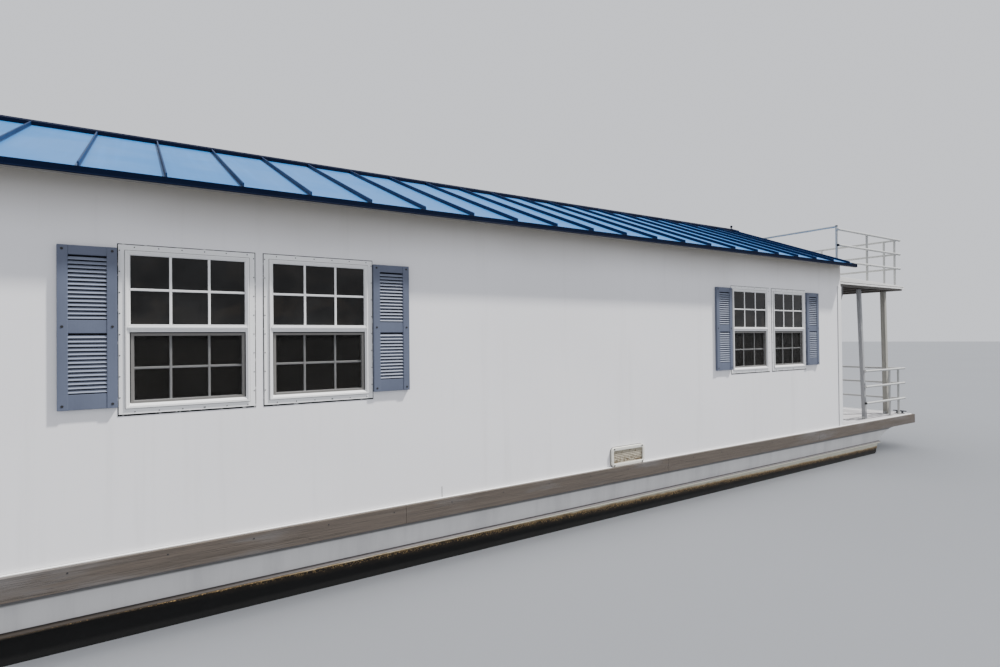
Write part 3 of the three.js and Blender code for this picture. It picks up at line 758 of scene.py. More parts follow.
@dataclass(frozen=True)
class Gelcoat(Finish):
    """Satin off-white panel with faint runs of dirt, painted shade under the eaves and a slow wave in its
    surface.
    """

    def paint(self, graph: Graph) -> None:
        """Adds vertical runs, broad clouding, a warm painted shade high on the wall under the eaves, and a
        little waviness.
        """
        run = graph.noise((7.0, 7.0, 0.30), detail=5.0, rough=0.6)
        fine = graph.noise((40.0, 40.0, 1.2), detail=4.0, rough=0.6)
        cloud = graph.noise((0.5, 0.5, 0.7), detail=3.0)
        dirt = graph.plus(graph.level(run, 0.52, 0.80, 0.0, 0.10), graph.level(fine, 0.60, 0.8, 0.0, 0.05))
        dirt = graph.plus(dirt, graph.level(cloud, 0.35, 0.7, 0.0, 0.05))
        paint = graph.mix(dirt, self.colour, srgb(120, 118, 112))
        # Painted shade under the eaves: the wall turns darker and warmer towards its top, with a ragged edge.
        eave_shade_height = graph.plus(graph.coordinate(Axis.Z), graph.times(cloud, 0.25))
        graph.set(Base_Color=graph.mix(graph.level(eave_shade_height, 3.45, 3.95, 0.0, 0.55), paint, srgb(118, 110, 88)))
        graph.set(Roughness=graph.level(run, 0.3, 0.7, self.rough, self.rough + 0.12))
        wave = graph.noise((0.9, 0.9, 0.7), detail=1.0)
        graph.bump(wave, 0.004, 0.25)


@dataclass(frozen=True)
class DirtyMesh(Finish):
    """Pale plastic mesh clogged with brown dirt.

    Attributes:
        dirt: The dirt's colour.
    """

    dirt: Colour = srgb(96, 80, 58)

    def paint(self, graph: Graph) -> None:
        """Adds clogged blotches, thickest low down, and a fine upright weave."""
        blotch = graph.noise((22.0, 22.0, 30.0), detail=5.0, rough=0.7)
        low = graph.level(graph.coordinate(Axis.Z), 1.19, 1.08, 0.0, 0.12)
        clogged = graph.level(graph.plus(blotch, low), 0.52, 0.70, 0.0, 0.8)
        weave = graph.noise((160.0, 160.0, 20.0), detail=2.0)
        mesh = graph.mix(graph.level(weave, 0.35, 0.65), self.shade(0.75), self.shade(1.12))
        graph.set(Base_Color=graph.mix(clogged, mesh, self.dirt))
        graph.bump(weave, 0.001, 0.7)


@dataclass(frozen=True)
class RoofSheet(Finish):
    """Painted standing-seam sheet with slight oil-canning and chalky weathering."""

    def paint(self, graph: Graph) -> None:
        """Adds chalking, runs down the slope and soft dents."""
        run = graph.noise((14.0, 0.5, 0.5), detail=5.0, rough=0.6)
        chalk = graph.noise((1.1, 1.1, 1.1), detail=4.0)
        paint = graph.mix(graph.level(run, 0.45, 0.75, 0.0, 0.25), self.colour, self.shade(1.5))
        paint = graph.mix(graph.level(chalk, 0.4, 0.7, 0.0, 0.2), paint, self.shade(0.7))
        graph.set(Base_Color=paint)
        graph.set(Roughness=graph.level(chalk, 0.35, 0.7, self.rough, self.rough + 0.12))
        dent = graph.noise((2.4, 1.0, 1.0), detail=1.0)
        graph.bump(dent, 0.010, 0.25)


@dataclass(frozen=True)
class Glazing(Finish):
    """Dark clear glass that lets a little of the cabin show.

    Attributes:
        clear: How much light it lets through.
    """

    clear: float = 0.14

    def paint(self, graph: Graph) -> None:
        """Adds a film of dust, soft brown patches of painted reflection and a slight wave to the pane."""
        film = graph.noise((3.0, 3.0, 3.0), detail=5.0, rough=0.6)
        # Soft brown patches in the dark pane: painted reflections.
        painted_reflection = graph.level(graph.noise((2.2, 2.2, 3.4), detail=2.0, twist=1.5), 0.42, 0.66, 0.0, 0.16)
        pane = graph.mix(painted_reflection, self.colour, srgb(66, 58, 48))
        graph.set(Base_Color=graph.mix(graph.level(film, 0.3, 0.75, 0.0, 0.08), pane, srgb(110, 112, 112)))
        graph.set(Roughness=graph.level(film, 0.3, 0.8, self.rough, self.rough + 0.05))
        graph.set(Alpha=1.0 - self.clear)
        graph.bump(graph.noise((1.6, 1.6, 1.2), detail=1.0), 0.0015, 0.3)


@dataclass(frozen=True)
class ScreenMesh(Finish):
    """Dark insect screen, thin enough to show the bars behind it."""

    def paint(self, graph: Graph) -> None:
        """Adds the weave and lets part of what is behind it through."""
        weave = [
            graph.add("ShaderNodeTexWave", {"Vector": graph.stretched(scale), "Scale": 1.0}).outputs["Fac"]
            for scale in ((180.0, 0.0, 0.0), (0.0, 0.0, 180.0))
        ]
        thread = graph.level(graph.sums("MAXIMUM", *weave), 0.5, 0.95)
        dust = graph.noise((2.5, 2.5, 2.5), detail=4.0)
        graph.set(Base_Color=graph.mix(graph.level(dust, 0.3, 0.7), self.shade(0.8), self.shade(1.2)))
        graph.set(Alpha=graph.level(thread, 0.0, 1.0, 0.26, 0.50))


@dataclass(frozen=True)
class MouldedBoard(Finish):
    """Coloured moulded plastic with a faint upright wood grain."""

    def paint(self, graph: Graph) -> None:
        """Adds the moulded grain and sun fading."""
        grain = graph.noise((260.0, 260.0, 9.0), detail=4.0, rough=0.6)
        fade = graph.noise((2.2, 2.2, 1.1), detail=4.0)
        paint = graph.mix(graph.level(fade, 0.3, 0.7), self.shade(0.9), self.shade(1.12))
        paint = graph.mix(graph.level(grain, 0.5, 0.75, 0.0, 0.3), paint, self.shade(0.75))
        graph.set(Base_Color=paint)
        graph.set(Roughness=graph.level(fade, 0.3, 0.7, self.rough, self.rough + 0.12))
        graph.bump(grain, 0.0006, 0.6)


@dataclass(frozen=True)
class DeckPaint(Finish):
    """Matt non-slip deck paint with grit, scuffs and grime."""

    def paint(self, graph: Graph) -> None:
        """Adds grit to the colour and the surface, and worn grimy patches."""
        grit = graph.noise((420.0,) * 3, detail=2.0)
        wear = graph.noise((1.7, 1.7, 1.7), detail=6.0, rough=0.65)
        paint = graph.mix(graph.level(grit, 0.35, 0.7), self.shade(0.85), self.shade(1.05))
        paint = graph.mix(graph.level(wear, 0.5, 0.72, 0.0, 0.35), paint, srgb(128, 124, 116))
        graph.set(Base_Color=paint, Roughness=0.85)
        graph.bump(grit, 0.0009, 0.8)


@dataclass(frozen=True)
class PostStain(Finish):
    """Stained upright timber, darker towards its foot."""

    def paint(self, graph: Graph) -> None:
        """Adds upright grain, knots and a damp foot."""
        fibre = graph.noise((90.0, 90.0, 1.6), detail=5.0, rough=0.6)
        knot = graph.noise((6.0, 6.0, 3.0), detail=2.0, twist=1.2)
        wood = graph.mix(graph.level(fibre, 0.3, 0.7), self.shade(0.84), self.shade(1.1))
        wood = graph.mix(graph.level(knot, 0.66, 0.78, 0.0, 0.5), wood, self.shade(0.55))
        foot = graph.level(graph.coordinate(Axis.Z), 1.35, 1.04, 0.0, 0.35)
        graph.set(Base_Color=graph.mix(foot, wood, self.shade(0.55)), Roughness=0.75)
        graph.bump(fibre, 0.0012, 0.6)


HULL = HullPaint("hull_enamel", "hull_paint", srgb(212, 211, 210), rough=0.42)
DECK = DeckPaint("deck_grit", "deck_paint", srgb(178, 176, 178))
RAIL_X = WeatheredTimber("timber_along", "weathered_timber", srgb(89, 81, 74), along=Axis.X)
RAIL_Y = WeatheredTimber("timber_across", "weathered_timber", srgb(89, 81, 74), along=Axis.Y, joint=0.0)
CLEAT_GREY = Finish("zinc_casting", "galvanised", srgb(78, 80, 84), rough=0.5, metal=0.6, uneven=0.2)
GALVANISED = Finish("zinc", "galvanised", srgb(160, 162, 164), rough=0.45, metal=0.6, uneven=0.15)
FASTENER = Finish("dark_fastener", "bracket_paint", srgb(44, 44, 46), rough=0.5, metal=0.3, uneven=0.15)
WALL = Gelcoat("satin_wall", "gelcoat", srgb(239, 238, 240), rough=0.36)
ROOF = RoofSheet("roof_blue", "roofing", srgb(40, 106, 166), rough=0.36, gloss=0.25)
# A darker copy of the roof's blue for the seams, which are the same paint: painted shade on their sides.
SEAM_SHADED = RoofSheet("seam_blue_shaded", "roofing", srgb(15, 44, 78), rough=0.45, gloss=0.15)
NAVY = Finish("navy_fold", "navy_trim", srgb(10, 21, 41), rough=0.7, gloss=0.05, uneven=0.15)
SOFFIT = Finish("soffit_board", "roofing", srgb(150, 138, 112), rough=0.8, gloss=0.2, uneven=0.2)
VINYL = Finish("white_vinyl", "white_vinyl", srgb(236, 236, 236), rough=0.40, uneven=0.05)
GLASS = Glazing("dark_glass", "window_glass", srgb(12, 10, 8), rough=0.03, gloss=0.28)
SCREEN = ScreenMesh("insect_screen", "window_glass", srgb(34, 33, 31), rough=0.8, gloss=0.2)
# Dark sealant; its ring round each window fin is widened below as a painted shadow, and the ring round the
# vent is painted shade.
CAULK_AND_SHADE = BrokenCaulk("dark_caulk_and_shade", "cowl_plastic", srgb(18, 17, 16), rough=0.8, gloss=0.1)
SCREEN_FRAME = Finish("grey_frame", "rail_aluminium", srgb(112, 110, 107), rough=0.5, uneven=0.08)
SHUTTER = MouldedBoard("slate_shutter", "shutter_plastic", srgb(87, 94, 112), rough=0.45)
# A lighter copy of the shutter's plastic for the slats, which are the same plastic: painted light on their
# sloping faces.
SLAT_LIT = MouldedBoard("slate_slat_lit", "shutter_plastic", srgb(116, 123, 140), rough=0.5)
SHUTTER_DARK = MouldedBoard("slate_shade", "shutter_plastic", srgb(18, 20, 27), rough=0.7, gloss=0.2)
DOOR_FRAME = Finish("door_white", "door_frame", srgb(232, 232, 230), rough=0.40, uneven=0.06)
DOOR_PAINT = Finish("door_enamel", "door_paint", srgb(226, 226, 222), rough=0.42, uneven=0.08)
VENT = Finish("vent_shell", "vent_plastic", srgb(222, 220, 210), rough=0.55, uneven=0.14, grain=25.0)
VENT_BACK = DirtyMesh("vent_mesh", "vent_plastic", srgb(176, 168, 150), rough=0.8, gloss=0.2)
UPPER_WHITE = Finish("upper_edge_white", "upper_deck_paint", srgb(224, 223, 220), rough=0.5, uneven=0.12)
UPPER_TOP = DeckPaint("upper_deck_grit", "upper_deck_paint", srgb(200, 200, 197))
# Dark brown-grey for the lip and beams under the platform: painted shade.
UPPER_UNDER_SHADED = Finish("upper_underside_shade", "upper_deck_paint", srgb(82, 78, 73), rough=0.75, uneven=0.3)
POST_LIGHT = PostStain("post_pale", "post_paint", srgb(151, 152, 154))
POST_DARK = PostStain("post_grey", "post_paint", srgb(156, 154, 146))
TUBE = Finish("rail_tube", "rail_aluminium", srgb(182, 183, 181), rough=0.42, metal=0.2, uneven=0.12)
PLUG = Finish("black_plug", "cowl_plastic", srgb(24, 24, 26), rough=0.6, uneven=0.1)
BRACKET = Finish("bracket_grey", "bracket_paint", srgb(52, 54, 58), rough=0.45, metal=0.3, uneven=0.15)
COWL = Finish("cowl_black", "cowl_plastic", srgb(36, 40, 46), rough=0.22, uneven=0.1)
LEG = Finish("leg_black", "cowl_plastic", srgb(44, 47, 52), rough=0.38, uneven=0.15)
BRASS = Finish("propeller_cast", "propeller_alloy", srgb(110, 112, 114), rough=0.35, metal=0.95, uneven=0.25)


def dress(piece: Piece, finish: Finish, *nodes: str, body: str = "boat", smooth: float = 32.0) -> Piece:
    """Gives a piece its finish, smooth shading and body.

    Args:
        piece: The piece, in its place.
        finish: Its finish.
        *nodes: The CAD nodes that it stands for.
        body: The CAD body that it rides on.
        smooth: The least angle, in degrees, of an edge that stays sharp.

    Returns:
        The same piece.
    """
    only(piece)
    bpy.ops.object.shade_smooth_by_angle(angle=math.radians(smooth))
    weigh = piece.modifiers.new("weigh", "WEIGHTED_NORMAL")
    weigh.keep_sharp = True
    bpy.ops.object.modifier_apply(modifier=weigh.name)
    piece.data.materials.clear()
    piece.data.materials.append(finish.material())
    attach(piece, body)
    if nodes:
        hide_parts(*nodes)
    log.info("%s in %s on %s", piece.name, finish.slot, body)
    return piece


def coat(node: str, finish: Finish) -> None:
    """Gives a CAD node that stays in view its finish.

    Args:
        node: The CAD node.
        finish: Its finish.
    """
    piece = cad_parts[node]
    piece.data.materials.clear()
    piece.data.materials.append(finish.material())
    log.info("node %s in %s", node, finish.slot)


# Sub-assemblies


@dataclass
class Hull:
    """The hull, its deck, the timber rail round it and the mooring cleats.

    Attributes:
        joints: Where the planks of a side meet.
        gap: The open width of a joint.
        out: How far the rail stands out past the hull's ends.
        edging: The middle of the side edging.
        edging_end: Half the length of the end edging.
        edging_half: Half the edging's width.
        bolt_first: How far the first bolt is from the hull's after end.
        bolt_pitch: How far apart the rail's bolts are.
        bolt_z: The height of the bolts.
        horn: A cleat horn's radii, each with its place from the middle.
        horn_z: How high a horn lies over the deck.
        feet_at: How far a cleat's feet are from its middle.
        foot_half: Half the width of such a foot.
    """

    joints: tuple[float, ...] = (-6.466, -2.808, 0.850, 4.508)
    gap: float = 0.0004
    out: float = 0.050
    edging: float = 2.181
    edging_end: float = 2.165
    edging_half: float = 0.012
    bolt_first: float = 0.200
    bolt_pitch: float = 0.610
    bolt_z: float = 0.988
    horn: Outline = (
        (0.0, -0.125), (0.009, -0.119), (0.011, -0.09), (0.014, 0.0),
        (0.011, 0.09), (0.009, 0.119), (0.0, 0.125),
    )
    horn_z: float = 0.052
    feet_at: float = 0.045
    foot_half: float = 0.016

    def build(self) -> None:
        """Builds the hull and all that is fixed to its edge."""
        dress(soften(merged_copy("hull", "hull_shell"), 0.006, segments=2, angle=24.0), HULL, "hull")
        self.deck()
        self.rail()
        self.bolts()
        self.cleats()

    def deck(self) -> None:
        """The deck plate, and the thin white edging on top of the timber rail."""
        dress(soften(merged_copy("main_deck", "deck_plate"), 0.004), DECK, "main_deck")
        length, end, half = HULL_HALF_LENGTH, self.edging_end, self.edging_half
        low, top = DECK_TOP - 0.004, DECK_TOP + 0.007
        strips = []
        for sign in BOTH:
            y, x = sign * self.edging, sign * length
            strips.append(block("edging", (-length, y - half, low), (length, y + half, top)))
            strips.append(block("edging", (x - half, -end, low), (x + half, end, top)))
        dress(joined("deck_edging", strips), VINYL)

    def rail(self) -> None:
        """The planks: long ones down the sides and two across each end."""
        length, play = HULL_HALF_LENGTH + self.out, self.gap / 2
        stops = [-length, *self.joints, length]
        sides, ends = [], []
        for sign in BOTH:
            for start, end in zip(stops, stops[1:]):
                sides.append(self.plank((start + play, sign * HULL_HALF_BEAM), (end - play, sign * RUB_OUT)))
            for start, end in ((-HULL_HALF_BEAM, 0.0), (0.0, HULL_HALF_BEAM)):
                ends.append(self.plank((sign * HULL_HALF_LENGTH, start + play), (sign * length, end - play)))
        dress(joined("rail_sides", sides), RAIL_X, "rub_rail")
        dress(joined("rail_ends", ends), RAIL_Y)

    def plank(self, one: tuple[float, float], other: tuple[float, float]) -> Piece:
        """A plank of the rail between two corners, given by X and Y."""
        return block("plank", (*one, RUB_BOTTOM), (*other, DECK_TOP), edge=0.004, segments=2)

    def bolts(self) -> None:
        """Dark bolt heads let into the timber, a quarter of the way down."""
        first, count = -HULL_HALF_LENGTH + self.bolt_first, int(2 * HULL_HALF_LENGTH / self.bolt_pitch)
        for side in Side:
            y = side.value * (RUB_OUT - 0.001)
            places = [(first + index * self.bolt_pitch, y, self.bolt_z) for index in range(count)]
            head = screw_head(0.0065, 0.003, Vector((0.0, side.value, 0.0)))
            dress(scattered(f"rail_bolts_{side.label}", head, places), FASTENER)

    def cleats(self) -> None:
        """Four cleats, each with a tapered horn on two feet over a base."""
        z, half = DECK_TOP, self.foot_half
        for name in [f"cleat_{end}_{side.label}" for end in ("bow", "stern") for side in Side]:
            low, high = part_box(name)
            x, y = (low.x + high.x) / 2, (low.y + high.y) / 2
            profile = [(x + radius, y + along, z + self.horn_z) for radius, along in self.horn]
            pieces = [turned("horn", profile, (x, y, z + self.horn_z), Axis.Y, steps=14)]
            for at in (y - self.feet_at, y + self.feet_at):
                end = (x + half, at + half, z + 0.050)
                pieces.append(block("foot", (x - half, at - half, z), end, 0.005, 2))
            pieces.append(block("base", (x - 0.026, y - 0.080, z), (x + 0.026, y + 0.080, z + 0.008), 0.003))
            dress(joined(f"{name}_casting", pieces), CLEAT_GREY, name)


@dataclass
class House:
    """The walls' finish, their corner trims, the sealant on them and the low vent.

    Attributes:
        joint_x: Where a short panel joint shows above the deck.
        trim: The width of a corner trim's leaf.
        proud: How far a trim stands off the wall.
        trim_top: How high the forward trims go.
        drip: The inner and outer edge of the eaves' drip strip.
        vent_slats: How many slats the vent has.
    """

    joint_x: float = -2.400
    trim: float = 0.105
    proud: float = 0.010
    trim_top: float = 3.460
    drip: tuple[float, float] = (2.360, 2.392)
    vent_slats: int = 7

    def build(self) -> None:
        """Gives the walls their finish, and builds what is fixed to them."""
        for wall in ("starboard", "port", "front", "aft"):
            coat(f"wall_{wall}", WALL)
        self.corners()
        self.skirt()
        self.vent()

    def corners(self) -> None:
        """White angle trims up the four corners of the house, and the sealant beside them."""
        foot, top = DECK_TOP + 0.002, roof_top(HOUSE_HALF) - 0.05
        pieces, lines = [], []
        for sign in BOTH:
            wall, face = sign * HOUSE_HALF, sign * (HOUSE_HALF + self.proud)
            for x, out, height in ((HOUSE_FRONT, 1, self.trim_top), (HOUSE_AFT, -1, top)):
                end = x + out * self.proud
                pieces.append(block("leaf", (end, wall, foot), (x - out * self.trim, face, height)))
                pieces.append(block("leaf", (x, face, foot), (end, wall - sign * self.trim, height)))
            for x in (HOUSE_FRONT - self.trim - 0.004, HOUSE_AFT + self.trim):
                end = (x + 0.004, sign * (HOUSE_HALF + 0.003), self.trim_top)
                lines.append(block("line", (x, wall, DECK_TOP + 0.01), end, 0.0005))
        dress(joined("corner_trims", pieces), VINYL)
        dress(joined("corner_sealant", lines), SCREEN_FRAME)

    def skirt(self) -> None:
        """Sealant where the side walls meet the deck, a panel joint and the eaves' drip strip."""
        half, (inner, outer) = HOUSE_HALF, self.drip
        low_x, high_x = HOUSE_AFT + 0.01, HOUSE_FRONT - 0.07
        low, high = DECK_TOP + 0.0005, DECK_TOP + 0.008
        beads = [
            block("bead", (low_x, sign * half, low), (high_x, sign * (half + 0.004), high), 0.001)
            for sign in BOTH
        ]
        dress(joined("wall_bead", beads), SCREEN_FRAME)
        start = (self.joint_x - 0.003, -half - 0.0012, DECK_TOP + 0.004)
        dress(block("wall_joint", start, (self.joint_x + 0.003, -half, DECK_TOP + 0.110), 0.0005), FASTENER)
        low, high = EAVE_Z - 0.0570, EAVE_Z - 0.0505
        drips = [
            block("drip", (ROOF_AFT, sign * inner, low), (ROOF_FRONT, sign * outer, high), 0.001)
            for sign in BOTH
        ]
        dress(joined("eave_drip", drips), SCREEN_FRAME)

    def vent(self) -> None:
        """The vent: a rounded frame, a mottled back behind slats, a dark outline round it that is painted
        shade, and its screws.
        """
        low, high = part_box("hull_vent")
        front, inset, lip = low.y, 0.028, 0.030
        shell = ring("shell", low, high, 0.034, edge=0.0, corner=0.056)
        pieces = [soften(shell, 0.005, segments=3, angle=60.0)]
        for z in (low.z + 0.030, high.z - 0.040):
            end = (high.x - lip, front + 0.020, z + 0.010)
            pieces.append(block("lip", (low.x + lip, front + 0.001, z), end, 0.004, 2))
        dress(joined("hull_vent_shell", pieces), VENT, "hull_vent")
        start = (low.x + inset, front + 0.022, low.z + inset)
        back = [block("back", start, (high.x - inset, high.y - 0.001, high.z - inset))]
        pitch = (high.z - low.z - 0.096) / self.vent_slats
        x, run = low.x + 0.032, (high.x - low.x - 0.064, 0, 0)
        for step in range(self.vent_slats):
            z = low.z + 0.046 + step * pitch
            section = ((0.013, 0.0), (0.015, -0.003), (0.024, pitch * 0.6), (0.022, pitch * 0.7))
            back.append(swept("slat", [(x, front + deep, z + lift) for deep, lift in section], run))
        dress(joined("hull_vent_back", back), VENT_BACK)
        # A dark outline round the vent: painted shade for the frame's sides.
        start = (low.x - 0.006, high.y - 0.0035, low.z - 0.004)
        end = (high.x + 0.005, high.y - 0.0005, high.z + 0.005)
        dress(ring("hull_vent_shade_outline", start, end, 0.02, edge=0.0, corner=0.060), CAULK_AND_SHADE)
        xs, zs = (low.x + 0.046, high.x - 0.046), (low.z + 0.018, high.z - 0.018)
        head = screw_head(0.011, 0.0025, OUTWARD)
        dress(scattered("vent_screws", head, [(x, front - 0.0005, z) for x in xs for z in zs]), PLUG)


@dataclass
class Roof:
    """The two roof halves with their standing seams, trims and ridge cap.

    Attributes:
        thick: The roof's thickness.
        seam_first: The first seam's place along the boat.
        seam_pitch: How far apart the seams are.
        seam_count: How many there are.
        seam_high: How high a seam stands.
        cap_half: Half the ridge cap's width.
        hem: How far a hemmed edge of the cap is folded in.
        ball: The finial ball's radius.
        knob: The finial's radii under the ball, each with its height.
    """

    thick: float = 0.045
    seam_first: float = -6.880
    seam_pitch: float = 0.529
    seam_count: int = 24
    seam_high: float = 0.038
    cap_half: float = 0.150
    hem: float = 0.012
    ball: float = 0.026
    knob: Outline = ((0.0, 0.0), (0.024, 0.0), (0.024, 0.006), (0.012, 0.010), (0.009, 0.022), (0.013, 0.026))

    def build(self) -> None:
        """Builds both halves and the cap."""
        for side in Side:
            self.panels(side)
            self.seams(side)
            self.trim(side)
            self.soffit(side)
        self.cap()

    def panels(self, side: Side) -> None:
        """One half's sheet, at the roof's full thickness.

        Args:
            side: The side of the boat.
        """
        eave, ridge = (side.value * EAVE_HALF, EAVE_Z), (side.value * 0.0005, RIDGE_Z)
        section = ((*eave, 0), (*eave, self.thick), (*ridge, self.thick), (*ridge, 0))
        outline = [(ROOF_AFT, y, z - down) for y, z, down in section]
        sheet = swept(f"roof_sheet_{side.label}", outline, (ROOF_FRONT - ROOF_AFT, 0, 0), edge=0.003)
        dress(sheet, ROOF, f"roof_{side.label}")

    def seams(self, side: Side) -> None:
        """Folded seams: a foot, a thin web and a lock turned over at the top.

        Args:
            side: The side of the boat.
        """
        sign, high = side.value, self.seam_high
        profile = [
            (-0.010, -0.004), (-0.010, 0.003), (-0.004, 0.005), (-0.004, high - 0.014),
            (-0.007, high - 0.012), (-0.007, high - 0.002), (-0.005, high), (0.003, high),
            (0.005, high - 0.002), (0.005, 0.005), (0.010, 0.003), (0.010, -0.004),
        ]
        foot = [(x, sign * EAVE_HALF, EAVE_Z + z) for x, z in profile]
        run = EAVE_HALF - self.cap_half - 0.001
        one = swept("seam", foot, (0, -sign * run, SLOPE * run))
        places = [(self.seam_first + index * self.seam_pitch, 0, 0) for index in range(self.seam_count)]
        # The seams take a darker copy of the roof's blue: painted shade.
        dress(scattered(f"roof_seams_{side.label}", one, places), SEAM_SHADED, smooth=20.0)

    def trim(self, side: Side) -> None:
        """The eave's fascia with its drip lip, and the rakes of both gables.

        Args:
            side: The side of the boat.
        """
        sign, name = side.value, f"eave_trim_{side.label}"
        low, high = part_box(name)
        out, ridge = EAVE_HALF + 0.020, 0.0005 * sign
        profile = [
            (EAVE_HALF, low.z + 0.004), (EAVE_HALF + 0.012, low.z + 0.004), (out, low.z),
            (out, low.z + 0.006), (out - 0.004, low.z + 0.012), (out - 0.004, EAVE_Z + 0.004),
            (EAVE_HALF, EAVE_Z + 0.008),
        ]
        outline = [(ROOF_AFT, sign * y, z) for y, z in profile]
        pieces = [swept("fascia", outline, (ROOF_FRONT - ROOF_AFT, 0, 0), edge=0.001)]
        section = (
            (sign * out, roof_top(out) + 0.008), (sign * out, low.z), (sign * EAVE_HALF, low.z),
            (ridge, RIDGE_Z - 0.054), (ridge, RIDGE_Z + 0.008),
        )
        for start, end in ((ROOF_FRONT, high.x), (low.x, ROOF_AFT)):
            outline = [(start, y, z) for y, z in section]
            pieces.append(swept("rake", outline, (end - start, 0, 0), edge=0.003, segments=2))
        dress(joined(f"eave_fold_{side.label}", pieces), NAVY, name)

    def soffit(self, side: Side) -> None:
        """The boards that close the overhang of one eave and of both gables from below.

        Args:
            side: The side of the boat.
        """
        lift = self.thick + 0.0005
        spans = (
            (ROOF_AFT + 0.001, ROOF_FRONT - 0.001, HOUSE_HALF + 0.0015, EAVE_HALF - 0.001),
            (ROOF_AFT + 0.001, HOUSE_AFT - 0.0015, 0.001, HOUSE_HALF),
            (HOUSE_FRONT + 0.0015, ROOF_FRONT - 0.001, 0.001, HOUSE_HALF),
        )
        boards = []
        for start, end, inner, outer in spans:
            section = ((inner, 0), (outer, 0), (outer, 0.006), (inner, 0.006))
            outline = [(start, side.value * y, roof_top(y) - lift - drop) for y, drop in section]
            boards.append(swept("board", outline, (end - start, 0, 0)))
        dress(joined(f"soffit_boards_{side.label}", boards), SOFFIT)

    def cap(self) -> None:
        """The ridge cap with hemmed edges, and the ball finial at its front end."""
        half, lift, edge_z = self.cap_half, self.seam_high + 0.004, roof_top(self.cap_half)
        _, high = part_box("ridge_cap")
        fold = half - self.hem
        hem = [(half, edge_z + 0.0005), (fold, edge_z + 0.006), (fold, edge_z + lift - 0.010)]
        section = [(-y, z) for y, z in hem]
        section += [(0.0, RIDGE_Z + lift - 0.012), *reversed(hem)]
        section += [(half, edge_z + lift), (0.0, RIDGE_Z + lift), (-half, edge_z + lift)]
        outline = [(ROOF_AFT, y, z) for y, z in section]
        pieces = [swept("cap", outline, (ROOF_FRONT - ROOF_AFT, 0, 0), edge=0.0015)]
        inner, low, top = half - 0.004, 0.002, lift - 0.004
        section = [(-inner, edge_z + low), (0.0, RIDGE_Z + low), (inner, edge_z + low)]
        section += [(inner, edge_z + top), (0.0, RIDGE_Z + top), (-inner, edge_z + top)]
        for x in (ROOF_AFT, ROOF_FRONT - 0.003):
            pieces.append(swept("closer", [(x, y, z) for y, z in section], (0.003, 0, 0)))
        x, base, radius = ROOF_FRONT - 0.050, RIDGE_Z + lift - 0.006, self.ball
        profile = [(x + r, 0.0, base + z) for r, z in self.knob]
        for angle in (math.radians(a) for a in range(30, 181, 15)):
            z = high.z - base - radius - radius * math.cos(angle)
            profile.append((x + radius * math.sin(angle), 0.0, base + z))
        pieces.append(turned("finial", profile, (x, 0, base), Axis.Z))
        dress(joined("ridge_fold", pieces), NAVY, "ridge_cap")


Masters = dict[str, tuple[Piece, Finish, str]]


def stamp(masters: Masters, names: str, first: str) -> None:
    """Copies masters to their eight places; a master's local X is along the wall, local Y into it.

    Args:
        masters: By kind, each master, its finish and the stem of the CAD nodes that it stands for.
        names: The copies' names, with fields for the kind and the place.
        first: The stem of the CAD nodes at whose low corners the masters start.
    """
    for side in Side:
        for number in range(1, 5):
            at = f"{side.label}_{number}"
            low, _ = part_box(f"{first}_{at}")
            place = Matrix.Translation((low.x, side.value * HOUSE_HALF, low.z))
            place = place @ Matrix.Diagonal((1.0, -side.value, 1.0, 1.0))
            for kind, (master, finish, stem) in masters.items():
                piece = copied(master, names.format(kind=kind, at=at), place)
                dress(piece, finish, *([f"{stem}_{at}"] if stem else []))
    for master, _, _ in masters.values():
        bpy.data.objects.remove(master)


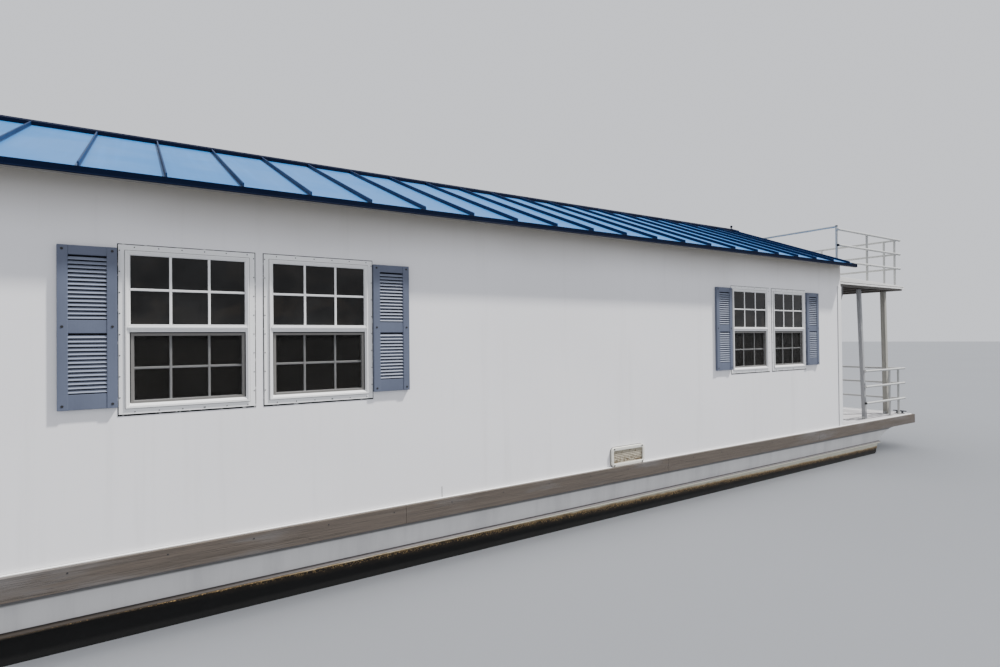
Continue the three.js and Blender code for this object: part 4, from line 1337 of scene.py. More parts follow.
@dataclass
class Windows:
    """Eight single-hung windows, modelled once: local X along the wall, Y into it.

    Attributes:
        wide: A window's width over its fin.
        high: Its height over its fin.
        fin: The fin's width.
        lite: Where the glass starts, in from the fin's edge.
        glass: How deep the lower sash's glass lies.
        upper_glass: How deep the upper sash's glass lies.
        meeting: The lowest and highest edge of the meeting rail.
        bar_half: Half a muntin's width.
        screw_pitch: How far apart the fin's screws are.
        screw_inset: How far the upper and lower screws are from the fin's edge.
        screw_side: How far the side screws are from it.
        fin_face: How deep the fin's face lies.
    """

    wide: float = 0.944
    high: float = 1.270
    fin: float = 0.042
    lite: float = 0.070
    glass: float = 0.0337
    upper_glass: float = 0.0100
    meeting: tuple[float, float] = (0.615, 0.673)
    bar_half: float = 0.009
    screw_pitch: float = 0.157
    screw_inset: float = 0.016
    screw_side: float = 0.008
    fin_face: float = -0.006

    def build(self) -> None:
        """Models one window and copies it to its eight places."""
        masters = {
            "frame": (self.frame(), VINYL, "window_frame"),
            "screen_frame": (self.screen_frame(), SCREEN_FRAME, ""),
            "screen": (self.screen(), SCREEN, ""),
            "bars": (self.lower_bars(), VINYL, ""),
            "screws": (self.screws(), FASTENER, ""),
            # Sealant round the fin, widened under it into a painted shadow.
            "seal": (self.seal(), CAULK_AND_SHADE, ""),
            "groove": (self.groove(), SCREEN_FRAME, ""),
            # A black ring round the screen's frame: painted shade in its channel.
            "channel_shade": (self.channel_shade(), PLUG, ""),
            "panes": (self.panes(), GLASS, "window_glass"),
        }
        stamp(masters, "window_{kind}_{at}_made", "window_frame")

    def frame(self) -> Piece:
        """The fin, the stepped outer frame, the upper sash's bars and the meeting rail."""
        wide, high, fin, lite, glass = self.wide, self.high, self.fin, self.lite, self.glass
        low_m, high_m = self.meeting
        nose, step, bead, ledge = fin + 0.001, fin + 0.013, lite - 0.004, lite - 0.012
        bead_end, ledge_end = wide - lite + 0.004, wide - lite + 0.012
        sill, run, foot = lite - 0.006, (wide - 2 * lite + 0.012, 0, 0), fin + 0.016
        section = ((-0.0155, foot), (0.010, foot), (0.010, lite + 0.010), (-0.002, lite + 0.004))
        pieces = [
            ring("fin", (0, self.fin_face, 0), (wide, 0.0, high), fin + 0.004),
            ring("nose", (nose, -0.016, nose), (wide - fin - 0.001, 0.070, high - fin - 0.001), 0.013),
            ring("step", (step, -0.009, step), (wide - fin - 0.013, 0.078, high - fin - 0.013), 0.0145),
            ring("bead", (bead, 0.002, high_m - 0.01), (bead_end, 0.030, high - lite + 0.004), 0.009),
            block("rail", (bead, -0.014, low_m + 0.018), (bead_end, glass, high_m), segments=2),
            block("ledge", (ledge, -0.022, low_m + 0.030), (ledge_end, 0.0, low_m + 0.042), segments=2),
            block("catch", (lite, -0.004, low_m), (wide - lite, glass, low_m + 0.020)),
            swept("sill", [(sill, y, z) for y, z in section], run, edge=0.001),
        ]
        pieces += self.bars(high_m - 0.002, high - lite + 0.002, front=0.0015, back=self.upper_glass + 0.001)
        return joined("window_frame_master", pieces)

    def panes(self) -> Piece:
        """The two panes, the upper one nearer the wall's face."""
        start, end = self.lite - 0.001, self.wide - self.lite + 0.001
        thick, (low_m, high_m) = 0.006, self.meeting
        spans = ((self.upper_glass, high_m - 0.01, self.high - start), (self.glass, start, low_m + 0.01))
        pieces = [block("pane", (start, y, low), (end, y + thick, high), 0.001) for y, low, high in spans]
        return joined("panes_master", pieces)

    def bars(self, low: float, high: float, front: float, back: float) -> list[Piece]:
        """The muntins of one sash: two upright and one across.

        Args:
            low: The sash's lower edge.
            high: Its upper edge.
            front: How deep the muntins' face lies.
            back: How deep their back lies, in the glass.

        Returns:
            The bars.
        """
        half, middle = self.bar_half, (low + high) / 2
        start, end = self.lite - 0.002, self.wide - self.lite + 0.002
        pieces = [block("bar", (start, front + 0.0005, middle - half), (end, back, middle + half), 0.003)]
        for share in (1 / 3, 2 / 3):
            x = self.lite + share * (self.wide - 2 * self.lite)
            pieces.append(block("bar", (x - half, front, low), (x + half, back, high), 0.003))
        return pieces

    def lower_bars(self) -> Piece:
        """The lower sash behind the screen: its frame and muntins."""
        lite, low_m = self.lite, self.meeting[0]
        low, high = (lite - 0.001, 0.018, lite - 0.001), (self.wide - lite + 0.001, self.glass, low_m + 0.002)
        bars = self.bars(lite, low_m, front=0.025, back=self.glass + 0.001)
        return joined("lower_sash_master", [ring("sash", low, high, 0.030), *bars])

    def screen_frame(self) -> Piece:
        """The grey frame that holds the insect screen."""
        lite = self.lite
        high = (self.wide - lite - 0.007, 0.012, self.meeting[0] - 0.009)
        return ring("screen_frame_master", (lite + 0.007, 0.004, lite + 0.0065), high, 0.020)

    def channel_shade(self) -> Piece:
        """A black ring round the screen's frame: painted shade in its channel."""
        lite = self.lite
        high = (self.wide - lite + 0.002, 0.0165, self.meeting[0] + 0.002)
        return ring("channel_shade_master", (lite - 0.002, 0.0075, lite + 0.002), high, 0.012, edge=0.0)

    def screen(self) -> Piece:
        """The insect screen, a thin sheet with a rolled edge in its frame."""
        lite = self.lite
        high = (self.wide - lite - 0.02, 0.0095, self.meeting[0] - 0.025)
        return block("screen_master", (lite + 0.02, 0.0085, lite + 0.024), high, edge=0.0003)

    def screws(self) -> Piece:
        """Small screws round the fin, and two close together below the glass."""
        inset, side, face, pitch = self.screw_inset, self.screw_side, self.fin_face, self.screw_pitch
        places = [(0.102 + step * pitch, face, z) for step in range(6) for z in (inset, self.high - inset)]
        for step in range(8):
            z = self.high - 0.045 - step * pitch
            places += [(x, face, z) for x in (side, self.wide - side)]
        places += [(self.wide * 0.60 + aside, face, inset) for aside in (-0.002, 0.004)]
        return scattered("screws_master", screw_head(0.0048, 0.0024, OUTWARD, sides=8), places)

    def seal(self) -> Piece:
        """The thin dark line of sealant round the fin's outer edge, twice as wide under the fin, where it is
        a painted shadow.
        """
        gap = 0.0062
        high = (self.wide + gap, -0.0001, self.high + gap)
        return ring("seal_master", (-gap, -0.0025, -0.0125), high, 0.014, edge=0.0)

    def groove(self) -> Piece:
        """The thin grey joint between the fin and the frame's nose."""
        low = self.fin - 0.003
        high = (self.wide - low, -0.0005, self.high - low)
        return ring("groove_master", (low, -0.0068, low), high, 0.005, edge=0.0)


@dataclass
class Shutters:
    """Eight louvred shutters, modelled once: local X along the wall, Y into it.

    Attributes:
        wide: A shutter's width.
        high: Its height.
        thick: How far it stands off the wall.
        stile: The width of its uprights.
        top: The height of its top rail.
        middle: The height of its middle rail.
        pitch: How far apart its slats are.
        slot: The open height between slats.
        slats: How many slats the upper and the lower field have.
    """

    wide: float = 0.356
    high: float = 1.184
    thick: float = 0.034
    stile: float = 0.064
    top: float = 0.068
    middle: float = 0.097
    pitch: float = 0.03035
    slot: float = 0.0135
    slats: tuple[int, int] = (15, 14)

    def build(self) -> None:
        """Models one shutter and copies it to its eight places."""
        masters = {
            "board": (self.board(), SHUTTER, "shutter"),
            # The slats take a lighter copy of the board's plastic: painted light.
            "slats": (self.louvres(), SLAT_LIT, ""),
            "screws": (self.screws(), FASTENER, ""),
            "back": (self.back(), SHUTTER_DARK, ""),
        }
        stamp(masters, "shutter_{at}_{kind}", "shutter")

    @property
    def fields(self) -> list[tuple[float, float, int]]:
        """Each louvre field's top, bottom and number of slats."""
        upper_top = self.high - self.top
        upper_low = upper_top - self.slats[0] * self.pitch - self.slot
        lower_top = upper_low - self.middle
        lower_low = lower_top - self.slats[1] * self.pitch - self.slot
        return [(upper_top, upper_low, self.slats[0]), (lower_top, lower_low, self.slats[1])]

    @property
    def inner(self) -> tuple[float, float]:
        """Where rails and slats start and end, let into the stiles."""
        return self.stile - 0.005, self.wide - self.stile + 0.005

    def back(self) -> Piece:
        """The shaded back behind the slats."""
        low = (self.stile - 0.004, -0.0045, self.fields[1][1] - 0.004)
        high = (self.wide - self.stile + 0.004, -0.0008, self.fields[0][0] + 0.004)
        return block("shutter_back_master", low, high, 0.001)

    def board(self) -> Piece:
        """The stiles and the rails."""
        face, (start, end) = -self.thick, self.inner
        (upper_top, upper_low, _), (lower_top, lower_low, _) = self.fields
        pieces = []
        for x in (0.0, self.wide - self.stile):
            pieces.append(block("stile", (x, face, 0), (x + self.stile, 0, self.high), 0.004, 2))
        for low, high in ((0.0, lower_low), (lower_top, upper_low), (upper_top, self.high)):
            pieces.append(block("rail", (start, face + 0.0045, low), (end, -0.0005, high), 0.004, 2))
        return joined("shutter_master", pieces)

    def louvres(self) -> Piece:
        """The slats of both fields, each sloping down and out from the height of its place."""
        start, end = self.inner
        face, rise = -self.thick, self.pitch - 0.004
        section = (
            (-0.011, -0.001), (-0.015, 0.0), (face + 0.005, -rise + 0.012),
            (face + 0.003, -rise + 0.006), (face + 0.006, -rise + 0.003), (-0.009, -0.007),
        )
        slat = swept("slat", [(start, y, z) for y, z in section], (end - start, 0, 0))
        places = []
        for top, _, count in self.fields:
            places += [(0, 0, top - self.slot - index * self.pitch) for index in range(count)]
        return scattered("louvres_master", slat, places)

    def screws(self) -> Piece:
        """Six dark screws: at the corners and at the ends of the middle rail."""
        xs = (0.030, self.wide - 0.030)
        zs = (0.032, (self.fields[0][1] + self.fields[1][0]) / 2, self.high - 0.030)
        head = screw_head(0.0095, 0.003, OUTWARD, sides=12)
        return scattered("shutter_screws_master", head, [(x, -self.thick, z) for x in xs for z in zs])


@dataclass
class UpperDeck:
    """The platform over the fore deck, its beams and its four leaning posts.

    Attributes:
        plate_bottom: The underside of its plate.
        band_bottom: The underside of its edge band.
        joint: The height of the dark joint between plate and band.
        beams: Where the cross beams are.
        beam_half: Half a beam's width.
        gusset: The hangers' outline, from the house and by height.
        gusset_y: Where a hanger's flange starts and ends.
        heads: The heights of the hangers' bolts.
        lean_aft: How far an after post's head stands inboard of its foot.
        lean_fore: How far a fore post's does.
    """

    plate_bottom: float = 3.535
    band_bottom: float = 3.507
    joint: float = 0.009
    beams: tuple[float, ...] = (5.416, 5.990, 6.560, 7.130, 7.700)
    beam_half: float = 0.046
    gusset: Outline = ((0.082, 3.330), (0.022, 3.225), (0.0, 3.225))
    gusset_y: tuple[float, float] = (2.112, 2.158)
    heads: tuple[float, ...] = (3.26, 3.35, 3.44)
    lean_aft: float = 0.070
    lean_fore: float = 0.024

    def build(self) -> None:
        """Builds the platform and the posts."""
        self.platform()
        self.beam_frame()
        self.hangers()
        for end, finish, lean in (("aft", POST_LIGHT, self.lean_aft), ("fore", POST_DARK, self.lean_fore)):
            for side in Side:
                self.post(f"post_{end}_{side.label}", finish, side, lean)

    def platform(self) -> None:
        """The top plate, the white band under its edge and the dark joint between them."""
        half, bottom, x, front = HOUSE_HALF, self.plate_bottom, HOUSE_FRONT, UPPER_FRONT
        foot = bottom + self.joint
        section = ((x, foot), (front, foot), (front, UPPER_LOW), (x, UPPER_HIGH))
        outline = [(x, -half, z) for x, z in section]
        plate = swept("upper_plate", outline, (0, 2 * half, 0), edge=0.004, segments=2)
        dress(plate, UPPER_WHITE, "upper_deck")
        low, high = (x, -half, self.band_bottom), (front, half, bottom - 0.001)
        dress(ring("upper_band", low, high, 0.110, through=Axis.Z, edge=0.003), UPPER_WHITE)
        low, high = (x, 0.006 - half, bottom - 0.003), (front - 0.006, half - 0.006, foot + 0.002)
        dress(block("upper_joint", low, high, 0.001), FASTENER)
        rim, start, end = half - 0.05, HOUSE_FRONT + 0.02, UPPER_FRONT - 0.05
        section = (
            (start, UPPER_HIGH - 0.0012), (end, UPPER_LOW + 0.0003),
            (end, UPPER_LOW + 0.0035), (start, UPPER_HIGH + 0.0015),
        )
        outline = [(x, -rim, z) for x, z in section]
        dress(swept("upper_tread", outline, (0, 2 * rim, 0)), UPPER_TOP)

    def beam_frame(self) -> None:
        """The recessed lip and the cross beams, in a dark brown-grey that is painted shade under the
        platform.
        """
        inset, half = 0.024, HOUSE_HALF - 0.030
        low = (HOUSE_FRONT, -HOUSE_HALF + inset, BEAM_BOTTOM)
        high = (UPPER_FRONT - inset, HOUSE_HALF - inset, self.band_bottom + 0.004)
        pieces = [ring("lip", low, high, 0.060, through=Axis.Z, edge=0.003)]
        for x in self.beams:
            low = (x - self.beam_half, -half, BEAM_BOTTOM + 0.0005)
            pieces.append(block("beam", low, (x + self.beam_half, half, self.plate_bottom + 0.003), 0.005, 2))
        dress(joined("upper_beams", pieces), UPPER_UNDER_SHADED)

    def hangers(self) -> None:
        """The gusseted hangers under the platform at the house, with their bolts."""
        x, head = HOUSE_FRONT + 0.010, BEAM_BOTTOM - 0.001
        inner, outer = self.gusset_y
        foot = self.gusset[-1][1]
        pieces = []
        for sign in BOTH:
            outline = [(x + out, sign * outer, z) for out, z in ((0.0, head), (0.082, head), *self.gusset)]
            pieces.append(swept("gusset", outline, (0, sign * 0.012, 0), edge=0.001))
            pieces.append(block("flange", (x, sign * inner, foot), (x + 0.008, sign * outer, head)))
            places = [(x + 0.008, sign * 2.135, z) for z in self.heads]
            pieces.append(scattered("heads", screw_head(0.008, 0.005, FORWARD, sides=6), places))
        dress(joined("upper_hangers", pieces), FASTENER)

    def post(self, node: str, finish: Finish, side: Side, lean: float) -> None:
        """One post: a squared timber whose top is moved inboard, on a small bolted foot.

        Args:
            node: Its CAD node.
            finish: Its stain.
            side: Its side of the boat.
            lean: How far its head stands inboard of its foot.
        """
        low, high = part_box(node)
        wide = high.x - low.x
        outer = low.y if side is Side.STARBOARD else high.y
        inner = outer - side.value * wide
        corners = (low.x, outer, low.z), (high.x, inner, high.z)
        shaft = block(f"{node}_timber", *corners, edge=0.006, segments=2)
        with editing(shaft):
            pick(shaft, "faces", lambda face: face.calc_center_median().z > high.z - 0.02)
            bpy.ops.transform.translate(value=(0, -side.value * lean, 0))
        dress(shaft, finish, node)
        x, y, half = (low.x + high.x) / 2, (outer + inner) / 2, wide / 2
        start, end = (x - half - 0.025, y - half - 0.012), (x + half + 0.025, y + half + 0.012)
        pieces = [block("foot", (*start, DECK_TOP), (*end, DECK_TOP + 0.006))]
        for ear in (x - half - 0.003, x + half + 0.003):
            start, end = (ear - 0.003, y - wide * 0.3), (ear + 0.003, y + wide * 0.3)
            pieces.append(block("ear", (*start, DECK_TOP), (*end, DECK_TOP + 0.05)))
        places = [(x + half + 0.006, y, DECK_TOP + up) for up in (0.018, 0.036)]
        pieces.append(scattered("bolts", screw_head(0.007, 0.006, FORWARD, sides=6), places))
        dress(joined(f"{node}_foot", pieces), TUBE)


@dataclass
class Rails:
    """The tube rails of the fore deck, the upper deck and the aft deck, and the ladder.

    Attributes:
        radius: A tube's radius.
        offset: How far a run's middle lies outside its uprights' middles.
        upper_heights: The upper deck's runs.
        lower_heights: The main deck's runs.
        upper_y: The upper deck's side uprights.
        upper_x: Its starboard uprights, the first of them at the house.
        upper_port_x: Its port uprights, forward of the ladder.
        upper_end: Where its side runs end.
        over: How far a side run goes past its first upright.
        house_top: The height of the cross rail at the house.
        front: Its front uprights' place along the boat.
        front_ys: Their places across it.
        front_run: The front run's place along the boat, and half its length.
        lower_y: The fore deck's side uprights.
        lower_xs: Its after and front uprights' places along the boat.
        gate_half: How far the two middle ones in front are from the middle.
        lower_run: Where its side runs start and end.
        lower_front: The place along the boat of its front run.
        bracket: Where a bracket to an after post starts and ends.
        stern_y: The aft deck's side run.
        stern_x: The aft deck's end run.
        stern_posts: Its uprights forward of that, along the boat, and the one in the end run, across it.
        stern_gap: Half the opening for the motor.
        ladder_x: The ladder's middle along the boat.
        ladder_y: Its place across the boat.
        ladder_half: Half its width.
        rung_pitch: How far apart the rungs are.
    """

    radius: float = 0.020
    offset: float = 0.036
    upper_heights: tuple[float, ...] = (3.922, 4.210, 4.488)
    lower_heights: tuple[float, ...] = (1.340, 1.645, 1.935)
    upper_y: float = 2.040
    upper_x: tuple[float, ...] = (5.530, 6.627, 7.745)
    upper_port_x: tuple[float, ...] = (6.300, 7.020, 7.745)
    upper_end: float = 7.875
    over: float = 0.026
    house_top: float = 4.545
    front: float = 7.750
    front_ys: tuple[float, ...] = (-1.850, -0.620, 0.620, 1.850)
    front_run: tuple[float, float] = (7.7854, 2.0556)
    lower_y: float = 2.050
    lower_xs: tuple[float, float] = (7.430, 7.800)
    gate_half: float = 0.620
    lower_run: tuple[float, float] = (6.400, 7.970)
    lower_front: float = 7.836
    bracket: tuple[float, float] = (6.540, 6.580)
    stern_y: float = 2.070
    stern_x: float = -7.920
    stern_posts: tuple[float, float, float] = (-6.870, -7.400, 1.300)
    stern_gap: float = 0.560
    ladder_x: float = 5.950
    ladder_y: float = 2.192
    ladder_half: float = 0.205
    rung_pitch: float = 0.280

    def build(self) -> None:
        """Builds every rail and the ladder."""
        self.upper()
        self.lower()
        self.stern()
        self.ladder()

    def tube(self, start: Point, end: Point) -> Piece:
        """One length of tube."""
        return rod("tube", start, end, self.radius, sides=24, rim=0.002)

    def upright(self, x: float, y: float, foot: float, head: float) -> list[Piece]:
        """An upright tube on its flange.

        Args:
            x: Its place along the boat.
            y: Its place across the boat.
            foot: The height of the deck that it stands on.
            head: The height of its top.

        Returns:
            The tube and the flange.
        """
        flange = rod("flange", (x, y, foot), (x, y, foot + 0.007), 0.040, sides=20, rim=0.002)
        return [self.tube((x, y, foot), (x, y, head)), flange]

    def plugs(self, ends: Sequence[Point], towards: int, axis: Axis = Axis.X) -> list[Piece]:
        """Plugs in the open ends of tubes.

        Args:
            ends: The middles of the tubes' ends.
            towards: 1 where the tubes open along the axis, -1 against it.
            axis: The tubes' axis.

        Returns:
            The plugs.
        """
        out, radius = towards * axis.unit, self.radius + 0.0022
        return [
            rod("plug", Vector(end) - out * 0.018, Vector(end) + out * 0.003, radius, sides=20, rim=0.002)
            for end in ends
        ]

    def upper(self) -> None:
        """The three rails of the upper deck and the cross rail at the house."""
        y, run_y, runs = self.upper_y, self.upper_y + self.offset, self.upper_heights
        (house, *ahead), (front, half), house_top = self.upper_x, self.front_run, self.house_top
        starts = house - self.over, self.upper_port_x[0] - self.over
        rails = {
            "starboard": ([(x, -y) for x in ahead], (starts[0], -run_y), (self.upper_end, -run_y)),
            "port": ([(x, y) for x in self.upper_port_x], (starts[1], run_y), (self.upper_end, run_y)),
            "front": ([(self.front, at) for at in self.front_ys], (front, -half), (front, half)),
        }
        for name, (posts, start, end) in rails.items():
            pieces = [self.tube((*start, z), (*end, z)) for z in runs]
            for x, at in posts:
                pieces += self.upright(x, at, upper_top(x), runs[-1])
            if name == "starboard":
                pieces.append(self.tube((house, -y - 0.012, house_top), (house, y + 0.012, house_top)))
                for at in (-y, y):
                    pieces += self.upright(house, at, upper_top(house), house_top)
            dress(joined(f"upper_rail_tubes_{name}", pieces), TUBE, f"upper_rail_{name}")
        pieces = self.plugs([(house, at, house_top + 0.018) for at in (-y, y)], 1, Axis.Z)
        pieces += self.plugs([(starts[0], -run_y, runs[1])], -1)
        dress(joined("upper_rail_plugs", pieces), PLUG)
        ends = [(self.upper_end, sign * run_y, z) for z in runs for sign in BOTH]
        dress(joined("upper_rail_caps", self.plugs(ends, 1)), TUBE)
        places = [(x, -run_y - self.radius, z) for x in self.upper_x for z in runs]
        head = screw_head(0.008, 0.005, OUTWARD, sides=6)
        dress(scattered("upper_rail_bolts", head, places), GALVANISED)

    def lower(self) -> None:
        """The fore deck's rail, with the brackets to the after posts."""
        y, run_y, run_x, runs = self.lower_y, self.lower_y + self.offset, self.lower_front, self.lower_heights
        start, end = self.lower_run
        pieces, brackets = [], []
        after, front = self.lower_xs
        for at in (-y, -self.gate_half, self.gate_half, y):
            pieces += self.upright(front, at, DECK_TOP, runs[-1])
        for at in (-y, y):
            pieces += self.upright(after, at, DECK_TOP, runs[-1])
        for z in runs:
            pieces += [self.tube((start, sign * run_y, z), (end, sign * run_y, z)) for sign in BOTH]
            pieces.append(self.tube((run_x, -run_y - 0.014, z), (run_x, run_y + 0.014, z)))
            lean = UpperDeck.lean_aft * (z - DECK_TOP) / (BEAM_BOTTOM - DECK_TOP)
            for sign in BOTH:
                low = (self.bracket[0], sign * (1.985 - lean + 0.033), z - 0.016)
                high = (self.bracket[1], sign * (run_y - 0.012), z + 0.016)
                brackets.append(block("bracket", low, high, 0.003, 2))
        dress(joined("lower_rail_tubes", pieces), TUBE, "lower_rail")
        dress(joined("lower_rail_brackets", brackets), GALVANISED)
        ends = [(start, sign * run_y, z) for z in runs for sign in BOTH]
        dress(joined("lower_rail_plugs", self.plugs(ends[:2], -1)), PLUG)
        caps = self.plugs(ends[2:], -1) + self.plugs([(end, y, z) for _, y, z in ends], 1)
        dress(joined("lower_rail_caps", caps), TUBE)

    def stern(self) -> None:
        """The aft deck's two rails, open in the middle for the motor."""
        aft, y, gap, runs = self.stern_x, self.stern_y, self.stern_gap, self.lower_heights
        first, second, across = self.stern_posts
        for side in Side:
            sign, pieces = side.value, []
            for x, at in ((first, y), (second, y), (aft, y), (aft, across), (aft, gap)):
                pieces += self.upright(x, sign * at, DECK_TOP, runs[-1])
            for z in runs:
                pieces.append(self.tube((HOUSE_AFT - 0.0005, sign * y, z), (aft, sign * y, z)))
                pieces.append(self.tube((aft, sign * y, z), (aft, sign * gap, z)))
            dress(joined(f"stern_rail_tubes_{side.label}", pieces), TUBE, f"stern_rail_{side.label}")

    def ladder(self) -> None:
        """The boarding ladder: squared stringers, grooved rungs and its holds."""
        x, y, half, side, cap = self.ladder_x, self.ladder_y, self.ladder_half, 0.016, 0.017
        top, pieces, caps = self.upper_heights[-1], [], []
        for at in (x - half, x + half):
            deck = upper_top(at)
            low, high = (at - side, y - side, DECK_TOP), (at + side, y + side, top)
            pieces.append(block("stringer", low, high, 0.004, 2))
            pieces.append(block("hold", (at - side, HOUSE_HALF - 0.060, deck), (at + side, y, deck + 0.012)))
            low, high = (at - cap, y - cap, top - 0.008), (at + cap, y + cap, top + 0.004)
            caps.append(block("cap", low, high, 0.004, 2))
        z = DECK_TOP + self.rung_pitch
        while z < UpperDeck.band_bottom:
            pieces.append(rod("rung", (x - half, y, z), (x + half, y, z), 0.014, sides=16, rim=0.001))
            for band in (x - 0.12, x - 0.06, x, x + 0.06, x + 0.12):
                pieces.append(rod("band", (band, y, z), (band + 0.008, y, z), 0.0155, sides=16))
            z += self.rung_pitch
        dress(joined("ladder_tubes", pieces), TUBE, "ladder")
        dress(joined("ladder_caps", caps), PLUG)


@dataclass
class Doors:
    """The glass sliding door of the front wall and the hinged door of the aft wall.

    Attributes:
        half: Half the front opening's width.
        bottom: Its lowest edge.
        top: Its highest edge.
        rim: The width of the outer frame.
        frame_xs: Where the outer frame starts and ends along the boat.
        fixed_leaf: The fixed leaf's corners.
        slider_xs: Where the sliding leaf starts and ends along the boat.
        stile: The width of a leaf's frame.
        aft_half: Half the aft door's width.
        aft_span: The aft door's lowest and highest edge.
        light: The lowest and highest edge of its light.
        light_half: Half the light's width.
        hinge_x: The hinges' pins along the boat.
        hinge_ys: Where a hinge's strap starts, and its pin.
        hinges: The lowest edges of its hinges.
        hinge_high: A hinge's height.
    """

    half: float = 0.900
    bottom: float = 1.090
    top: float = 3.150
    rim: float = 0.040
    frame_xs: tuple[float, float] = (5.280, 5.380)
    fixed_leaf: tuple[Point, Point] = ((5.290, 0.0, 1.125), (5.322, 0.865, 3.115))
    slider_xs: tuple[float, float] = (5.328, 5.358)
    stile: float = 0.062
    aft_half: float = 0.390
    aft_span: tuple[float, float] = (1.098, 3.084)
    light: tuple[float, float] = (2.090, 2.930)
    light_half: float = 0.230
    hinge_x: float = -6.850
    hinge_ys: tuple[float, float] = (0.359, 0.393)
    hinges: tuple[float, ...] = (1.391, 2.091, 2.791)
    hinge_high: float = 0.0285

    def build(self) -> None:
        """Builds both doors."""
        self.fixed()
        self.slider()
        self.aft()
        self.casing()

    def leaf(self, name: str, low: Point, high: Point) -> tuple[Piece, Piece]:
        """A glazed leaf.

        Args:
            name: What its pieces are named after.
            low: Its lowest corner.
            high: Its highest corner.

        Returns:
            Its frame and its glass.
        """

        def inner(deep: float, inset: float) -> tuple[Point, Point]:
            """The leaf's corners, moved in by one length along X and another along Y and Z."""
            moved = Vector((deep, inset, inset))
            return tuple(Vector(low) + moved), tuple(Vector(high) - moved)

        inset = self.stile - 0.008
        border = ring(f"{name}_border", low, high, self.stile, through=Axis.X, edge=0.003)
        bead = ring(f"{name}_bead", *inner(0.006, inset), 0.016, through=Axis.X)
        pane = block(f"{name}_pane", *inner((high[0] - low[0]) / 2 - 0.004, inset + 0.004), edge=0.001)
        return joined(f"{name}_leaf", [border, bead]), pane

    def fixed(self) -> None:
        """The outer frame with its tracks, and the fixed leaf to port."""
        start, end = self.frame_xs
        low, high = (start, -self.half, self.bottom), (end, self.half, self.top)
        outer = ring("outer", low, high, self.rim, through=Axis.X, edge=0.003)
        leaf, pane = self.leaf("front_fixed", *self.fixed_leaf)
        dress(joined("front_door_frame", [outer, leaf]), DOOR_FRAME, "front_door_fixed")
        dress(pane, GLASS)

    def slider(self) -> None:
        """The sliding leaf with its pull on a plate."""
        low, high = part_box("front_door_slider")
        start, face = self.slider_xs
        leaf, pane = self.leaf("front_slider", (start, low.y, low.z), (face, high.y, high.z))
        y, z = -self.half + 0.076, self.bottom
        grip = [
            block("plate", (face - 0.0005, y - 0.018, z + 0.82), (face + 0.0025, y + 0.018, z + 1.13), 0.001),
            block("pull", (face + 0.010, y - 0.010, z + 0.86), (face + 0.018, y + 0.010, z + 1.09), 0.003, 2),
        ]
        for low_z in (z + 0.87, z + 1.06):
            end = (face + 0.012, y + 0.006, low_z + 0.016)
            grip.append(block("stand", (face + 0.002, y - 0.006, low_z), end))
        dress(leaf, DOOR_FRAME, "front_door_slider", body="front_slider")
        dress(pane, GLASS, body="front_slider")
        dress(joined("front_slider_pull", grip), GALVANISED, body="front_slider")

    def aft(self) -> None:
        """The aft door: a panelled leaf with a light, a lever and its hinge leaves."""
        half, outer, inner = self.aft_half, HOUSE_AFT, HOUSE_AFT + 0.044
        (bottom, top), (light_low, light_high) = self.aft_span, self.light
        pieces = [block("slab", (outer, -half, bottom), (inner, half, top), 0.003)]
        panes, rim = [], self.light_half + 0.025
        for x, out in ((outer, -1), (inner, 1)):
            face, back = x + out * 0.003, x - out * 0.004
            low, high = (face, -rim, light_low - 0.025), (back, rim, light_high + 0.025)
            pieces.append(ring("moulding", low, high, 0.030, Axis.X))
            pieces.append(ring("moulding", (face, -rim, 1.24), (back, rim, light_low - 0.13), 0.022, Axis.X))
            low = (x + out * 0.0012, -self.light_half, light_low)
            panes.append(block("pane", low, (x - out * 0.003, self.light_half, light_high), 0.0005))
        dress(joined("aft_door_leaf_made", pieces), DOOR_PAINT, "aft_door", body="aft_door_leaf")
        dress(joined("aft_door_glass", panes), GLASS, body="aft_door_leaf")
        z, y, stem = self.bottom + 0.950, 0.060 - half, outer - 0.045
        metal = [
            rod("rose", (outer - 0.008, y, z), (outer, y, z), 0.026, sides=20, rim=0.002),
            rod("stem", (outer - 0.050, y, z), (outer - 0.006, y, z), 0.010, sides=16, rim=0.002),
            rod("lever", (stem, y - 0.012, z), (stem, y + 0.115, z), 0.009, sides=16, rim=0.003),
        ]
        x, (strap, pin) = self.hinge_x, self.hinge_ys
        for low_z in self.hinges:
            high_z = low_z + self.hinge_high
            metal.append(rod("barrel", (x, pin, low_z), (x, pin, high_z), 0.008, 14, rim=0.001))
            metal.append(block("strap", (x + 0.0055, strap, low_z), (x + 0.0105, pin, high_z), 0.001))
        dress(joined("aft_door_metal", metal), GALVANISED, body="aft_door_leaf")

    def casing(self) -> None:
        """The boards round the aft door, clear of its hinges."""
        x, face, low, top = HOUSE_AFT, HOUSE_AFT - 0.012, 1.032, 3.156
        boards = [
            block("side", (face, 0.432, low), (x, 0.492, top), 0.003, 2),
            block("side", (face, -0.460, low), (x, -0.402, top), 0.003, 2),
            block("head", (face - 0.004, -0.470, 3.100), (x, 0.502, 3.170), 0.003, 2),
            block("sill", (x - 0.020, -0.402, 1.062), (x, 0.396, 1.088), 0.004, 2),
        ]
        dress(joined("aft_door_casing", boards), DOOR_FRAME)


